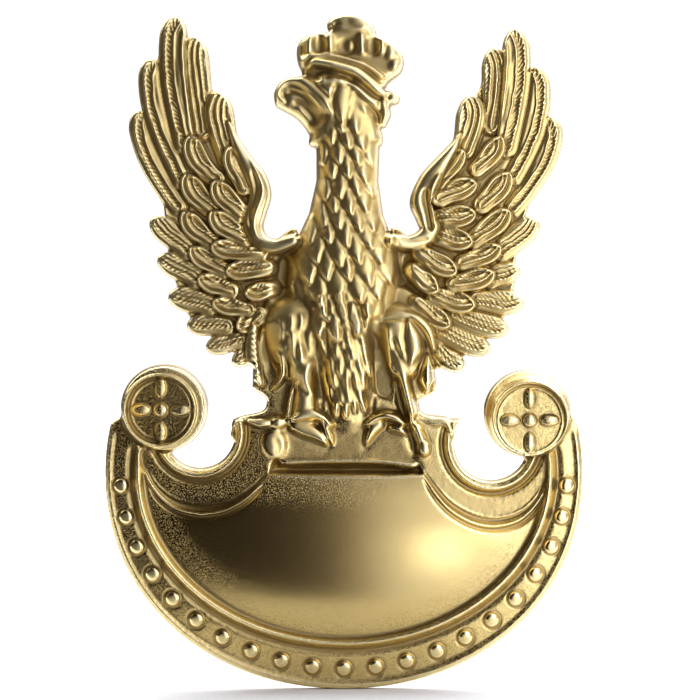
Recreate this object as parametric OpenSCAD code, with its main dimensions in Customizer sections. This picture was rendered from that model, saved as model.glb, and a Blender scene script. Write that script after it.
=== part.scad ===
// Cap badge: a crowned eagle on a crescent shield, struck hollow from sheet brass.
// A screw stud and two locating prongs are soldered in the hollow back. A clamp
// washer and a knurled disc nut on the stud hold the badge to the cap's band.
//
// Worn upright, +Z is up, the relief faces -Y and the stud runs back along +Y.
// The origin is on the stud's axis in the plane of the badge's flat rear rim.
// The relief is drawn lying flat, x across, y up the badge and z towards the
// wearer's front, and face_on() stands it up.

/* [Badge] */
// Thickness of the struck sheet
sheet_t = 0.9; // [0.8:0.1:1.1]
// Height of the outer edge all round, above the rear rim plane
rim_h = 1.2; // [1.1:0.1:1.5]
// Height of the eagle's breast
breast_h = 4.7; // [4.4:0.1:5]
// Height of the shield's domed field at its middle
dome_h = 4.3; // [4:0.1:4.6]
// Height of the beads along the shield's border
bead_h = 2.6; // [2.4:0.1:2.8]

/* [Fixing] */
// Major diameter of the stud's metric thread
thread_d = 4; // [4:0.5:5]
// Length of the threaded shank behind the rear rim plane
thread_len = 9; // [8:0.5:12]
// Diameter of the stud's plain lead point
point_d = 3; // [2.6:0.1:3.1]
// Length of the stud's plain lead point
point_len = 2; // [1.5:0.25:3]
// Diameter of each locating prong
prong_d = 1; // [0.8:0.1:1.2]
// Length of each prong behind the rear rim plane, with its tip
prong_len = 4.5; // [3.5:0.5:6]
// Diameter of the clamp washer
washer_d = 11; // [9.5:0.5:12]
// Thickness of the clamp washer
washer_t = 0.8; // [0.6:0.1:1]
// Thickness of the cap band and lining that the badge clamps
cloth_t = 2.6; // [2:0.1:3.2]
// Diameter of the nut's knurled disc
disc_d = 13; // [12:0.5:13]
// Thickness of the nut's disc
disc_t = 1.2; // [1:0.1:1.4]
// Diameter of the nut's threaded hub
hub_d = 7; // [6.5:0.5:8]
// Height of the nut's threaded hub
hub_h = 4; // [3.5:0.25:4.5]

/* [Hidden] */
$fn = 64;
GILT = "darkgoldenrod";
BRASS = "goldenrod";
SOLDER = "darkgray";

// Level at which the shield's raised shapes are seated, inside its plate
seat = rim_h - 0.2;
// Top of the sheet between the feathers and behind the legs and the crown
web_h = rim_h + 0.6;
// Top of the shield's plate
plate_h = rim_h + 0.5;

// Hollow back
hollow_h = rim_h - 0.3;
pad_h = 1.6;
pad_r = 5.6;

// Stud, prongs and solder
flange_r = 4;
flange_t = 0.8;
chamfer = 0.4;
solder_w = 1;
solder_neck = 0.15;
prong_x = 10;
prong_z = 9;
prong_foot_r = 1.1;
prong_foot_t = 0.4;
prong_cone = 1;
prong_tip_r = 0.1;
prong_solder_w = 0.6;

// Washer and nut, tight on the cloth
thread_clearance = 0.06;
washer_hole_r = thread_d / 2 + 0.2;
washer_y = cloth_t;
nut_y = washer_y + washer_t;
knurls = 30;
knurl_depth = 0.3;

// Feathers of the left wing: tip, middle and base of the shaft, and width
LEFT_PRIMARIES = [
    [[-18.2, 25.7], [-17.4, 21.8], [-14.8, 17.2], 2.1],
    [[-17, 30.3], [-16.9, 25.8], [-14.5, 19.6], 2.1],
    [[-14.8, 34.1], [-15.2, 29.5], [-14.2, 22.9], 2.5],
    [[-13.4, 32.3], [-13, 28.3], [-12.6, 24], 2.4],
    [[-11.1, 27.4], [-11, 24.9], [-10.2, 21.5], 2.6]
];
LEFT_SECONDARIES = [
    [[-17.2, 16], [-15.8, 15], [-14, 13.3], 2.2],
    [[-16.6, 12.3], [-15, 12], [-13.2, 10.8], 2.3],
    [[-15.6, 9], [-14, 9], [-12, 8.4], 2.3],
    [[-13.9, 6.4], [-12.5, 6.7], [-10.5, 6.5], 2],
    [[-12.2, 4.5], [-10.8, 5], [-9, 5.3], 1.9],
    [[-9.9, 3.2], [-9, 3.8], [-8, 4.6], 1.7]
];
LEFT_COVERTS = [
    [[-13.6, 23.5], [-12.9, 21.3], [-11.3, 19.6], 1.6],
    [[-14, 20.1], [-13.2, 18.5], [-11.6, 16.8], 1.7],
    [[-14.1, 16.8], [-13.4, 15.5], [-11.7, 14], 1.6],
    [[-13.6, 13.6], [-12.5, 12.6], [-10.6, 11.5], 1.5],
    [[-13, 10.8], [-11.8, 10.4], [-10, 9.7], 1.5],
    [[-11.7, 8.7], [-10.5, 8.4], [-8.5, 8], 1.4],
    [[-9.5, 6.3], [-8.6, 6.8], [-7.5, 7.5], 1.6]
];
LEFT_LESSER_COVERTS = [
    [[-10.1, 22.5], [-9.6, 20.8], [-8.8, 18.9], 1.6],
    [[-11.4, 19.5], [-10.7, 18.2], [-9, 16.5], 1.7],
    [[-11.7, 16.8], [-10.8, 15.7], [-8.8, 14.4], 1.7],
    [[-11.8, 13.7], [-10, 13.3], [-7.3, 13.1], 1.5],
    [[-10.5, 11.4], [-9, 11.5], [-6.7, 11.7], 1.5],
    [[-8.8, 9.4], [-7.5, 9.6], [-6.2, 9.9], 1.4]
];

// Feathers of the right wing
RIGHT_PRIMARIES = [
    [[18.3, 25.1], [17.9, 21.5], [15, 17], 2.1],
    [[17, 29.6], [17.1, 25], [15, 19.8], 2.1],
    [[15.1, 33], [15.3, 28.5], [14.4, 22.5], 2.5],
    [[13.3, 31.3], [13.4, 28], [13.1, 24.3], 2.3],
    [[11.3, 27.1], [11.2, 24.8], [10.6, 22.3], 2.6]
];
RIGHT_SECONDARIES = [
    [[17.3, 15.9], [15.8, 14.8], [14, 13.2], 2.4],
    [[15.6, 11.2], [14.4, 11.3], [13, 10.7], 2.2],
    [[16, 8.6], [13.8, 8.7], [11.8, 8.9], 2.2],
    [[14.6, 6.2], [12, 6.8], [9.8, 7.6], 2.1],
    [[13, 4.5], [10.5, 5.3], [8, 6.6], 2.1],
    [[10.8, 3], [9.3, 3.6], [8, 4.8], 1.9]
];
RIGHT_COVERTS = [
    [[13.8, 23.4], [13.2, 22], [11.8, 20.5], 1.5],
    [[14.6, 20.2], [13.8, 18.9], [12.3, 17.3], 1.7],
    [[14.7, 16.8], [13.3, 15.6], [11.5, 14.2], 1.7],
    [[13.9, 13.6], [12.5, 12.9], [10.5, 12.2], 1.5],
    [[13.3, 11.3], [12, 10.8], [9.8, 10.3], 1.6],
    [[11.6, 8.4], [10, 8.7], [8, 9.3], 1.6],
    [[9.4, 6.6], [8.2, 7.3], [6.5, 8.6], 1.5]
];
RIGHT_LESSER_COVERTS = [
    [[10.7, 22], [9.6, 21], [8.2, 19.3], 1.6],
    [[11.8, 19], [10.3, 18.7], [8.6, 17.9], 1.7],
    [[11.7, 16.4], [10.3, 16.3], [8.5, 16.1], 1.7],
    [[11.4, 14], [10, 14.2], [8.3, 14.6], 1.7],
    [[10, 11.3], [8.5, 12], [6.8, 13], 1.6],
    [[8.3, 9.6], [7.3, 10.4], [6.1, 11.5], 1.5]
];

// Web of sheet that joins the feathers of each wing
LEFT_WEB = [
    [-4, 14.6], [-6.2, 14.2], [-7.3, 14.7], [-7.4, 16.5], [-6.9, 18.4], [-7.7, 20.4], [-9.3, 23],
    [-10.3, 25.6], [-11.7, 27.6], [-12.7, 30], [-13.8, 32], [-15.5, 31.5], [-16.7, 30],
    [-17.7, 25.7], [-17.9, 22], [-16.4, 18.2], [-16, 17.1], [-15.7, 13.7], [-15, 10.6],
    [-13.8, 7.5], [-12, 5.8], [-9.7, 4.2], [-7.8, 2.8], [-5, 3.4]
];
RIGHT_WEB = [
    [4, 14.7], [6.2, 14.2], [7.1, 14.9], [6.7, 16.4], [6.4, 17.6], [7.9, 20], [9.7, 23],
    [10.4, 25.6], [11.9, 27.4], [13, 30], [14, 31], [15.2, 31.5], [16.4, 29.4],
    [17.8, 25.2], [18, 21.8], [16.9, 18.4], [16.3, 17], [15.3, 12.8], [15.1, 10],
    [14.3, 7.5], [12.8, 5.5], [10.8, 4], [8, 2.7], [5, 3.4]
];

// Sheet behind the legs, the tail and the feet
APRON = [[-5.5, 10], [-8, 3.8], [-8.1, 1.1], [-7.1, 0.5], [-6.8, -0.1], [-7.2, -0.9], [-9.5, -1.5],
    [-10, -4], [10, -4], [9.5, -1.5], [7.2, -1.2], [6.7, -0.2], [7.2, 0.5], [8.1, 1], [8, 3.4], [5.5, 10]];

// Sheet behind the crown and the ribbons
CROWN_WEB = [[-3.6, 29.2], [-3.8, 31.5], [-1, 33], [2.6, 32.6], [4.7, 31.2], [4.9, 29.4],
    [3.7, 28.1], [3.9, 26.6], [3.1, 24.5], [-2, 24.5]];

// Leading edge of each wing, from the wrist down to the shoulder, with its width
LEFT_ARM = [[-9.7, 23.3], [-8.9, 21], [-7.8, 19.6], [-7.35, 18.3], [-7.7, 16.6], [-8, 15.2],
    [-7.3, 14.1], [-6, 13.7], [-4.4, 14.2]];
RIGHT_ARM = [[10, 23], [8.9, 21.1], [7.8, 19.6], [6.8, 17.7], [7.2, 16.3], [7.5, 15.1],
    [6.9, 14.2], [5.6, 13.8], [4.2, 14.1]];
ARM_WIDTH = [0.8, 1.5, 1.9, 1.9, 1.9, 1.7, 1.5, 1.3, 1.2];

// Shield: a squarish ellipse bounds it, a round notch cuts each side and a volute ends each arm
SHIELD_C = [0, -6.5];
SHIELD_R = [21.25, 19.15];
SHIELD_POWER = 2.08;
VOLUTE_C = [[-15.95, -0.7], [16.3, -1.2]];
VOLUTE_R = 3.9;
NOTCH_C = [[-12.8, -2.9], [13.1, -3.8]];
NOTCH_R = [3.1, 3.3];
SHOULDER_Y = -1.6;
DOME_C = [0, -13];
DOME_R = [19.5, 10.5];
BORDER_W = 3.6;
PLINTH = [[-5.9, -5.9], [6.5, -6], [5.6, -1.8], [-5, -1.8]];

// Where the cross-sections of a feather stand along its shaft, from base to tip
LONG_FEATHER = [0, 0.4, 0.75, 0.93, 0.995];
SHORT_FEATHER = [0, 0.6, 0.9, 0.995];
SCALE = [0.3, 0.72, 0.93, 0.995];

function bezier(p, t) = (1 - t) * (1 - t) * p[0] + 2 * t * (1 - t) * p[1] + t * t * p[2];
function bezier_slope(p, t) = 2 * (1 - t) * (p[1] - p[0]) + 2 * t * (p[2] - p[1]);
function spine(feather) = [feather[2], 2 * feather[1] - (feather[0] + feather[2]) / 2, feather[0]];
function left_of(d) = [-d.y, d.x] / norm(d);
function along(path, i) = path[min(i + 1, len(path) - 1)] - path[max(i - 1, 0)];

// Half width of a feather against its length: a slight swell, then a round tip
function feather_taper(t) = (0.72 + 0.28 * sin(115 * t)) * sqrt(1 - pow(max(0, (t - 0.72) / 0.28), 2));

// Cross-section of a raised strip: a low roof with its edge at one height and its crest at another
function roof(c, n, w, edge, crest) = [
    [c.x - n.x * w, c.y - n.y * w, 0],
    [c.x - n.x * w, c.y - n.y * w, edge],
    [c.x, c.y, crest],
    [c.x + n.x * w, c.y + n.y * w, edge],
    [c.x + n.x * w, c.y + n.y * w, 0]
];

// Closed solid through a row of cross-sections that have the same number of points
module loft(sections) {
    k = len(sections[0]);
    last = len(sections) - 1;
    sides = [
        for (i = [0:last - 1])
            for (j = [0:k - 1])
                [i * k + j, i * k + (j + 1) % k, (i + 1) * k + (j + 1) % k, (i + 1) * k + j]
    ];
    near_end = [for (j = [0:k - 1]) k - 1 - j];
    far_end = [for (j = [0:k - 1]) last * k + j];
    polyhedron([for (s = sections) each s], [near_end, each sides, far_end], convexity = 4);
}

module feather(f, edge, crest, stations) {
    path = spine(f);
    loft([
        for (t = stations)
            roof(bezier(path, t), left_of(bezier_slope(path, t)), f[3] / 2 * feather_taper(t), edge, crest)
    ]);
}

module strip(path, widths, edge, crest) {
    loft([
        for (i = [0:len(path) - 1])
            roof(path[i], left_of(along(path, i)), widths[i] / 2, edge, crest)
    ]);
}

module row_of_feathers(row, edge, crest, stations = LONG_FEATHER) {
    for (f = row)
        feather(f, edge, crest, stations);
}

// Number of sides of a round boss
function sides(r) = r < 1 ? 7 : r < 2 ? 10 : r < 4 ? 14 : 28;

// Round boss that meets the sheet all round: the top of a flattened ball
module swell(c, rx, ry, h) {
    n = sides(max(rx, ry));
    latitudes = n > 7 ? [0, 30, 65] : [0, 45];
    translate([c.x, c.y, 0])
        scale([rx, ry, h])
            rotate_extrude($fn = n)
                polygon([[0, 0], for (a = latitudes) [cos(a), sin(a)], [0, 1]]);
}

module swell_chain(chain) {
    for (i = [0:len(chain) - 2])
        hull() {
            swell(chain[i][0], chain[i][1], chain[i][1], chain[i][2]);
            swell(chain[i + 1][0], chain[i + 1][1], chain[i + 1][1], chain[i + 1][2]);
        }
}

module wing(primaries, secondaries, coverts, lesser, web, arm) {
    linear_extrude(web_h)
        polygon(web);
    row_of_feathers(primaries, rim_h, rim_h + 1);
    row_of_feathers(secondaries, rim_h + 0.1, rim_h + 1.1);
    row_of_feathers(coverts, rim_h + 0.6, rim_h + 1.4, SHORT_FEATHER);
    row_of_feathers(lesser, rim_h + 0.9, rim_h + 1.7, SHORT_FEATHER);
    strip(arm, ARM_WIDTH, rim_h, rim_h + 1.5);
}

module wings() {
    wing(LEFT_PRIMARIES, LEFT_SECONDARIES, LEFT_COVERTS, LEFT_LESSER_COVERTS, LEFT_WEB, LEFT_ARM);
    wing(RIGHT_PRIMARIES, RIGHT_SECONDARIES, RIGHT_COVERTS, RIGHT_LESSER_COVERTS, RIGHT_WEB, RIGHT_ARM);
}

// Pointed scales in staggered rows down the neck and breast: x range, y and size of each row
NECK_ROWS = [
    for (i = [0:3])
        [[-2.2, 2.8], 24.6 - 2.1 * i, 1.5, 3.9]
];
BREAST_ROWS = [
    [[-2.6, 3], 14.3, 1.5, 4.2], [[-3.5, 4], 12.4, 1.8, 4.6],
    [[-4, 4.4], 10.4, 1.8, 4.8], [[-3.6, 4], 8.4, 1.7, 4.6]
];

module scales(rows) {
    for (i = [0:len(rows) - 1]) {
        row = rows[i];
        count = floor((row[0][1] - row[0][0]) / row[2]);
        shift = i % 2 == 0 ? 0 : 0.5;
        for (j = [0:count - 1]) {
            x = row[0][0] + (j + shift + 0.3) * row[2];
            middle = (row[0][0] + row[0][1]) / 2;
            fall = 1 - pow((x - middle) / (row[0][1] - middle + 1.2), 2);
            top = row[3] * (0.72 + 0.28 * fall);
            scale_spine = [[x + 0.2, row[1] - 1.6], [x, row[1]], [x, row[1] + 1.4], row[2] * 1.1];
            feather(scale_spine, top - 0.35, top, SCALE);
        }
    }
}

module eagle_body() {
    swell_chain([
        [[-0.3, 27.5], 3.3, 3.7], [[0.3, 24], 3, 3.7], [[0.3, 19.5], 2.75, 3.8],
        [[0.2, 16.5], 3.2, 4.1], [[0.1, 13.5], 4.4, breast_h], [[0, 10.5], 5, breast_h],
        [[0.3, 7], 4.2, breast_h - 0.4], [[0.4, 2.5], 3, 3.9], [[0.4, -0.5], 2.4, 3.4]
    ]);
    scales(NECK_ROWS);
    scales(BREAST_ROWS);
}

module tail() {
    for (x = [-1.3, -0.4, 0.5, 1.4, 2.3])
        feather([[x - 0.3, -2.1], [x + 0.1, 2], [x * 0.6, 7], 1.1], 3.4, 4.2, SHORT_FEATHER);
}

module legs() {
    linear_extrude(web_h)
        polygon(APRON);
    cylinder(r = pad_r + 0.5, h = pad_h + 0.8, $fn = 20);
    swell_chain([
        [[-4.8, 5.6], 2.9, 4.3], [[-4.2, 3], 2.3, 4.1],
        [[-3.6, 0], 1.5, 3.9], [[-3.3, -1.6], 1.5, 3.9]
    ]);
    swell_chain([
        [[5.2, 5.4], 2.7, 4.3], [[5, 3], 2.2, 4.1],
        [[5.2, 0], 1.4, 3.9], [[5.2, -1.6], 1.2, 3.9]
    ]);
    swell([-6.9, 2.6], 1.3, 2.5, 3.2);
    swell([7.3, 2.7], 1.1, 2.2, 3.2);
}

module talons() {
    swell_chain([[[-4.4, -1.5], 1.1, 4], [[-7, -2.4], 1, 3.7], [[-6.4, -4.2], 0.9, 4]]);
    swell_chain([[[-3, -1.5], 1.3, 4.1], [[-1.8, -2.6], 0.8, 4], [[-1.2, -3.8], 0.4, 3.5]]);
    swell_chain([[[3.6, -1.4], 1.3, 4.1], [[2.6, -2.6], 0.8, 4], [[2.1, -3.8], 0.4, 3.5]]);
    swell_chain([[[5.4, -0.6], 1.1, 4.1], [[6.4, -2.4], 0.9, 4], [[7.1, -4.2], 0.9, 4]]);
}

module head() {
    swell([-1, 27.4], 2.9, 2.2, 4.2);
    strip([[-1.2, 24.9], [-1.8, 26.2], [-3, 27.5], [-4.4, 28.2], [-5.4, 27.8], [-5.7, 26.8], [-5.2, 26.2]],
        [0.6, 0.9, 1, 1.1, 1.1, 0.9, 0.6], 1.6, 4);
    strip([[-5.4, 27.4], [-4.6, 26.7], [-3.7, 25.8], [-2.9, 24.4], [-2.3, 23]],
        [1.2, 2, 2, 1.6, 1], rim_h, 3.1);
}

module crown() {
    linear_extrude(web_h)
        polygon(CROWN_WEB);
    swell([0.6, 33], 2.1, 1.3, 3.2);
    lobes = [[-3.1, 30.9, 1.2], [-1.6, 31.3, 1], [0.5, 31.4, 1.3], [2.5, 31.1, 1.1], [4.1, 30.3, 1.25]];
    for (lobe = lobes)
        swell([lobe.x, lobe.y], lobe.z, 1.7, 3.4);
    strip([[-3.6, 29.6], [-1.5, 30.2], [0.3, 30.1], [2, 29.4], [3.4, 28.4]],
        [0.8, 0.9, 0.9, 0.9, 0.8], rim_h, 4.2);
    strip([[-3, 29.3], [-1, 29.3], [1, 28.8], [2.6, 27.5], [4.6, 26.8]],
        [0.7, 1, 1.1, 1.1, 1], rim_h, 4.4);
    strip([[0, 28], [1.4, 27], [2.4, 25.9], [3.6, 25.1]], [0.7, 0.9, 0.9, 0.8], rim_h, 4.3);
    swell([4.2, 26.7], 0.8, 0.7, 3.4);
    swell([3.3, 25.1], 0.8, 1, 3.4);
}

function signed_power(v, e) = sign(v) * pow(abs(v), e);

module ellipse(c, r, power = 2) {
    translate(c)
        polygon([
            for (a = [0:10:359])
                [r.x * signed_power(cos(a), 2 / power), r.y * signed_power(sin(a), 2 / power)]
        ]);
}

module notches_2d(grow) {
    for (i = [0, 1])
        translate(NOTCH_C[i])
            circle(r = NOTCH_R[i] + grow, $fn = 28);
}

module below_2d(y) {
    translate([-30, y - 60])
        square([60, 60]);
}

module shield_2d(inset) {
    difference() {
        intersection() {
            ellipse(SHIELD_C, SHIELD_R - [inset, inset], SHIELD_POWER);
            below_2d(SHOULDER_Y);
        }
        notches_2d(inset);
    }
    for (c = VOLUTE_C)
        translate(c)
            circle(r = VOLUTE_R - inset, $fn = 32);
}

module crescent_2d(i) {
    intersection() {
        translate([NOTCH_C[i].x, NOTCH_C[i].y + 0.5])
            scale([1.1, 1])
                circle(r = NOTCH_R[i] + 4.1, $fn = 32);
        shield_2d(BORDER_W);
        translate([i == 0 ? -30 : 6.4, -30])
            square([23.6, 60]);
    }
}

module dome_2d() {
    difference() {
        intersection() {
            ellipse(SHIELD_C, SHIELD_R - [BORDER_W, BORDER_W], SHIELD_POWER);
            below_2d(-6);
        }
        offset(delta = -0.3) {
            crescent_2d(0);
            crescent_2d(1);
        }
        notches_2d(1);
    }
}

// Raise a shape that stands on the shield's plate, up to a height above the rear rim plane
module relief(h) {
    translate([0, 0, seat])
        linear_extrude(h - seat)
            children();
}

module rosette(c) {
    translate([c.x, c.y, seat]) {
        difference() {
            cylinder(r1 = VOLUTE_R - 0.15, r2 = 3.1, h = 3 - seat, $fn = 28);
            translate([0, 0, 2.5 - seat])
                cylinder(r = 2.5, h = 2, $fn = 24);
        }
        swell([0, 0], 0.6, 0.6, 3.3 - seat);
        for (a = [0:90:270])
            rotate([0, 0, a])
                swell([1.5, 0], 0.8, 0.4, 3.1 - seat);
    }
}

module beads() {
    for (a = [-90:8.55:-10])
        for (side = [-1, 1])
            translate([SHIELD_C.x + side * (SHIELD_R.x - 1.7) * cos(a),
                    SHIELD_C.y + (SHIELD_R.y - 1.8) * sin(a), seat])
                swell([0, 0], 0.75, 0.75, bead_h - seat);
}

module shield() {
    linear_extrude(plate_h)
        shield_2d(0);
    relief(rim_h + 0.8)
        difference() {
            shield_2d(0.06);
            shield_2d(0.7);
        }
    relief(rim_h + 1.2)
        difference() {
            shield_2d(BORDER_W - 0.7);
            shield_2d(BORDER_W - 0.1);
        }
    relief(rim_h + 1.1) {
        crescent_2d(0);
        crescent_2d(1);
    }
    intersection() {
        relief(dome_h + 1)
            dome_2d();
        swell(DOME_C, DOME_R.x, DOME_R.y, dome_h);
    }
    relief(3.3)
        polygon(PLINTH);
    rosette(VOLUTE_C[0]);
    rosette(VOLUTE_C[1]);
    beads();
}

module hollow_2d() {
    offset(delta = -sheet_t) {
        polygon(LEFT_WEB);
        polygon(RIGHT_WEB);
        translate([-5, -3])
            square([10, 17]);
        translate([-1.9, 10])
            square([4.2, 18]);
    }
    shield_2d(sheet_t + 0.4);
}

module hollow() {
    translate([0, 0, -1]) {
        linear_extrude(hollow_h + 1)
            hollow_2d();
        cylinder(r = pad_r, h = pad_h + 1, $fn = 20);
        intersection() {
            linear_extrude(20)
                offset(delta = -sheet_t)
                    dome_2d();
            translate([0, 0, 1])
                swell(DOME_C, DOME_R.x - sheet_t, DOME_R.y - sheet_t, dome_h - sheet_t);
        }
        translate([0, 0, 1])
            swell([0, 11], 3.9, 5.5, breast_h - sheet_t);
    }
}

// Stand the flat relief up: its front faces -Y
module face_on() {
    rotate([90, 0, 0])
        children();
}

// Turn a part drawn on +Z so that it runs back along +Y from a given y
module behind(y) {
    translate([0, y, 0])
        rotate([-90, 0, 0])
            children();
}

module badge_shell() {
    color(GILT)
        face_on()
            difference() {
                union() {
                    shield();
                    wings();
                    eagle_body();
                    tail();
                    legs();
                    talons();
                    head();
                    crown();
                }
                hollow();
            }
}

module stud() {
    shank_end = thread_len + pad_h;
    color(BRASS)
        behind(-pad_h) {
            cylinder(r = flange_r, h = flange_t);
            cylinder(r = thread_d / 2, h = shank_end);
            cylinder(r = point_d / 2, h = shank_end + point_len - chamfer);
            translate([0, 0, shank_end + point_len - chamfer])
                cylinder(r1 = point_d / 2, r2 = point_d / 2 - chamfer, h = chamfer);
        }
}

module stud_solder() {
    color(SOLDER)
        behind(-pad_h)
            difference() {
                cylinder(r1 = flange_r + solder_w, r2 = flange_r + solder_neck, h = flange_t - 0.1);
                translate([0, 0, -1])
                    cylinder(r = flange_r, h = 3);
            }
}

module prong() {
    length = prong_len + hollow_h;
    color(BRASS)
        behind(-hollow_h) {
            cylinder(r = prong_foot_r, h = prong_foot_t);
            cylinder(r = prong_d / 2, h = length - prong_cone);
            translate([0, 0, length - prong_cone])
                cylinder(r1 = prong_d / 2, r2 = prong_tip_r, h = prong_cone);
        }
}

module left_prong() {
    translate([-prong_x, 0, prong_z])
        prong();
}

module right_prong() {
    translate([prong_x, 0, prong_z])
        prong();
}

module prong_solder() {
    color(SOLDER)
        for (side = [-1, 1])
            translate([side * prong_x, 0, prong_z])
                behind(-hollow_h)
                    difference() {
                        cylinder(r1 = prong_foot_r + prong_solder_w, r2 = prong_foot_r + 0.1, h = 0.35);
                        translate([0, 0, -1])
                            cylinder(r = prong_foot_r, h = 2);
                    }
}

module clamp_washer() {
    color(BRASS)
        behind(washer_y)
            difference() {
                cylinder(r = washer_d / 2, h = washer_t);
                translate([0, 0, -1])
                    cylinder(r = washer_hole_r, h = washer_t + 2);
            }
}

module nut_hub() {
    color(BRASS)
        behind(nut_y)
            difference() {
                cylinder(r = hub_d / 2, h = hub_h);
                translate([0, 0, -1])
                    cylinder(r = thread_d / 2 + thread_clearance, h = hub_h + 2);
            }
}

module nut_disc() {
    color(BRASS)
        behind(nut_y)
            difference() {
                cylinder(r = disc_d / 2, h = disc_t);
                translate([0, 0, -1])
                    cylinder(r = hub_d / 2, h = disc_t + 2);
                for (a = [0:360 / knurls:359])
                    rotate([0, 0, a])
                        translate([disc_d / 2 + knurl_depth, 0, -1])
                            cylinder(r = 2 * knurl_depth, h = disc_t + 2, $fn = 16);
            }
}

badge_shell();
stud();
stud_solder();
left_prong();
right_prong();
prong_solder();
clamp_washer();
nut_hub();
nut_disc();
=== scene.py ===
"""Looks of the cap badge: a struck eagle on a crescent shield, with its stud, prongs and clamp nut.

The shell is one closed mesh. Its front is a height over the plane of the rear rim, painted from feathers,
strokes and bosses on a fine grid, in millimetres, x to the right and z up. The back is the hollow of the
same sheet. The fasteners are turned and threaded meshes round the stud's axis, which is the Y axis.
"""

import math
import bpy
import numpy as np
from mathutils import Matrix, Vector


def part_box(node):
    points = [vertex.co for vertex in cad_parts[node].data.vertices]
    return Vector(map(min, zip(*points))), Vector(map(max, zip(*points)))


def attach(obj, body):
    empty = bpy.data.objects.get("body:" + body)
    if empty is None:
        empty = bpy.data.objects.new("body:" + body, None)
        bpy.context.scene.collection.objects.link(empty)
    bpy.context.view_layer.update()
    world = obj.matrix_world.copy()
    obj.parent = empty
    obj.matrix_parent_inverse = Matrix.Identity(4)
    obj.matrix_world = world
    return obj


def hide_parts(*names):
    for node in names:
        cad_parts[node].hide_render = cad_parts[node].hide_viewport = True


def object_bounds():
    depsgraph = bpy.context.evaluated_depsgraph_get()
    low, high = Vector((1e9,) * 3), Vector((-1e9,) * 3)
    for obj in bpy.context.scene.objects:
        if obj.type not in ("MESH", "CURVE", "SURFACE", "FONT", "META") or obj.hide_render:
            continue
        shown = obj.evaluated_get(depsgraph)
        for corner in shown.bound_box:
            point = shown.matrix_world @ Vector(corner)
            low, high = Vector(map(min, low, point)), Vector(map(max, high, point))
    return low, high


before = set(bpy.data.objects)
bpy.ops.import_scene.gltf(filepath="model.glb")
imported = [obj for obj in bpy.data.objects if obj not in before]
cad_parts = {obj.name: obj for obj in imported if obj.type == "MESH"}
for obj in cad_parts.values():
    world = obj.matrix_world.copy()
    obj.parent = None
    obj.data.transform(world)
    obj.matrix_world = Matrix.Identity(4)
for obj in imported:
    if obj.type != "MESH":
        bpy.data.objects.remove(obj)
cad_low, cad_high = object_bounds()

MM = 0.001
BADGE = "badge"
WASHER = "washer"
NUT = "nut"


# ---------- sizes taken from the CAD frame, in mm


def node_box(node):
    """Lowest and highest corner of a CAD node, in mm."""
    low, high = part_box(node)
    return np.array(low) / MM, np.array(high) / MM


def middle_of(low, high):
    """x and z of the middle of a box."""
    return (low[0] + high[0]) / 2, (low[2] + high[2]) / 2


SHELL_LOW, SHELL_HIGH = node_box("badge_shell")
STUD_LOW, STUD_HIGH = node_box("stud")
WASHER_LOW, WASHER_HIGH = node_box("clamp_washer")
HUB_LOW, HUB_HIGH = node_box("nut_hub")
DISC_LOW, DISC_HIGH = node_box("nut_disc")

# ---------- the grid that the relief is painted on

STEP = 0.08  # between the grid's points
MARGIN = 4 * STEP  # kept free round the shell
FAR = 9.0  # stands for any distance well outside the shell
RIM = 1.2  # height of the bare front
EDGE = 0.85  # height of the front at the very outline
SHEET = 0.9  # thickness of the metal

grid_x = np.arange(SHELL_LOW[0] - MARGIN, SHELL_HIGH[0] + MARGIN, STEP)
grid_z = np.arange(SHELL_LOW[2] - MARGIN, SHELL_HIGH[2] + MARGIN, STEP)
X, Z = np.meshgrid(grid_x, grid_z)
height = np.full(X.shape, RIM)
outline = np.full(X.shape, FAR)
grain = np.ones(X.shape)  # 1 where the metal is pitted, 0 where it is smooth

NOISE_SIZE = 256
NOISE = np.random.default_rng(11).random((NOISE_SIZE, NOISE_SIZE))


def mix(a, b, t):
    return a + (b - a) * t


def ramp(start, end, value):
    """0 before start, 1 after end, and a smooth rise between them."""
    t = np.clip((value - start) / (end - start), 0, 1)
    return t * t * (3 - 2 * t)


def bell(value, centre, width):
    """1 at the centre, falling smoothly to nothing on both sides."""
    return np.exp(-(((value - centre) / width) ** 2))


def arch(t):
    """Half circle: 1 at t = 0, and 0 from t = 1 on."""
    return np.sqrt(np.clip(1 - t**2, 0, 1))


def rounded(depth, radius):
    """Quarter circle: 0 at an edge, and 1 from a radius inside it."""
    return np.sqrt(1 - (1 - np.clip(depth / radius, 0, 1)) ** 2)


def noise(u, v):
    """Smooth noise from 0 to 1, with one lump per unit."""
    iu, iv = np.floor(u).astype(int), np.floor(v).astype(int)
    fu, fv = ramp(0, 1, u - iu), ramp(0, 1, v - iv)
    iu, iv = iu % (NOISE_SIZE - 1), iv % (NOISE_SIZE - 1)
    near_row = mix(NOISE[iu, iv], NOISE[iu + 1, iv], fu)
    far_row = mix(NOISE[iu, iv + 1], NOISE[iu + 1, iv + 1], fu)
    return mix(near_row, far_row, fv)


def unevenness(x, z, amount, per_mm=4.1):
    return amount * (noise(x * per_mm, z * per_mm) - 0.5)


def smaller(a, b, k):
    """The smaller of two values, rounded where they cross."""
    t = np.clip(0.5 + 0.5 * (b - a) / k, 0, 1)
    return mix(b, a, t) - k * t * (1 - t)


def larger(a, b, k):
    """The larger of two values, rounded where they cross."""
    return -smaller(-a, -b, k)


def window(points, reach):
    """The part of the grid round some points."""
    low = np.min(points, axis=0) - reach
    high = np.max(points, axis=0) + reach
    i0, i1 = np.searchsorted(grid_x, [low[0], high[0]])
    j0, j1 = np.searchsorted(grid_z, [low[1], high[1]])
    return np.s_[j0:j1, i0:i1]


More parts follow.
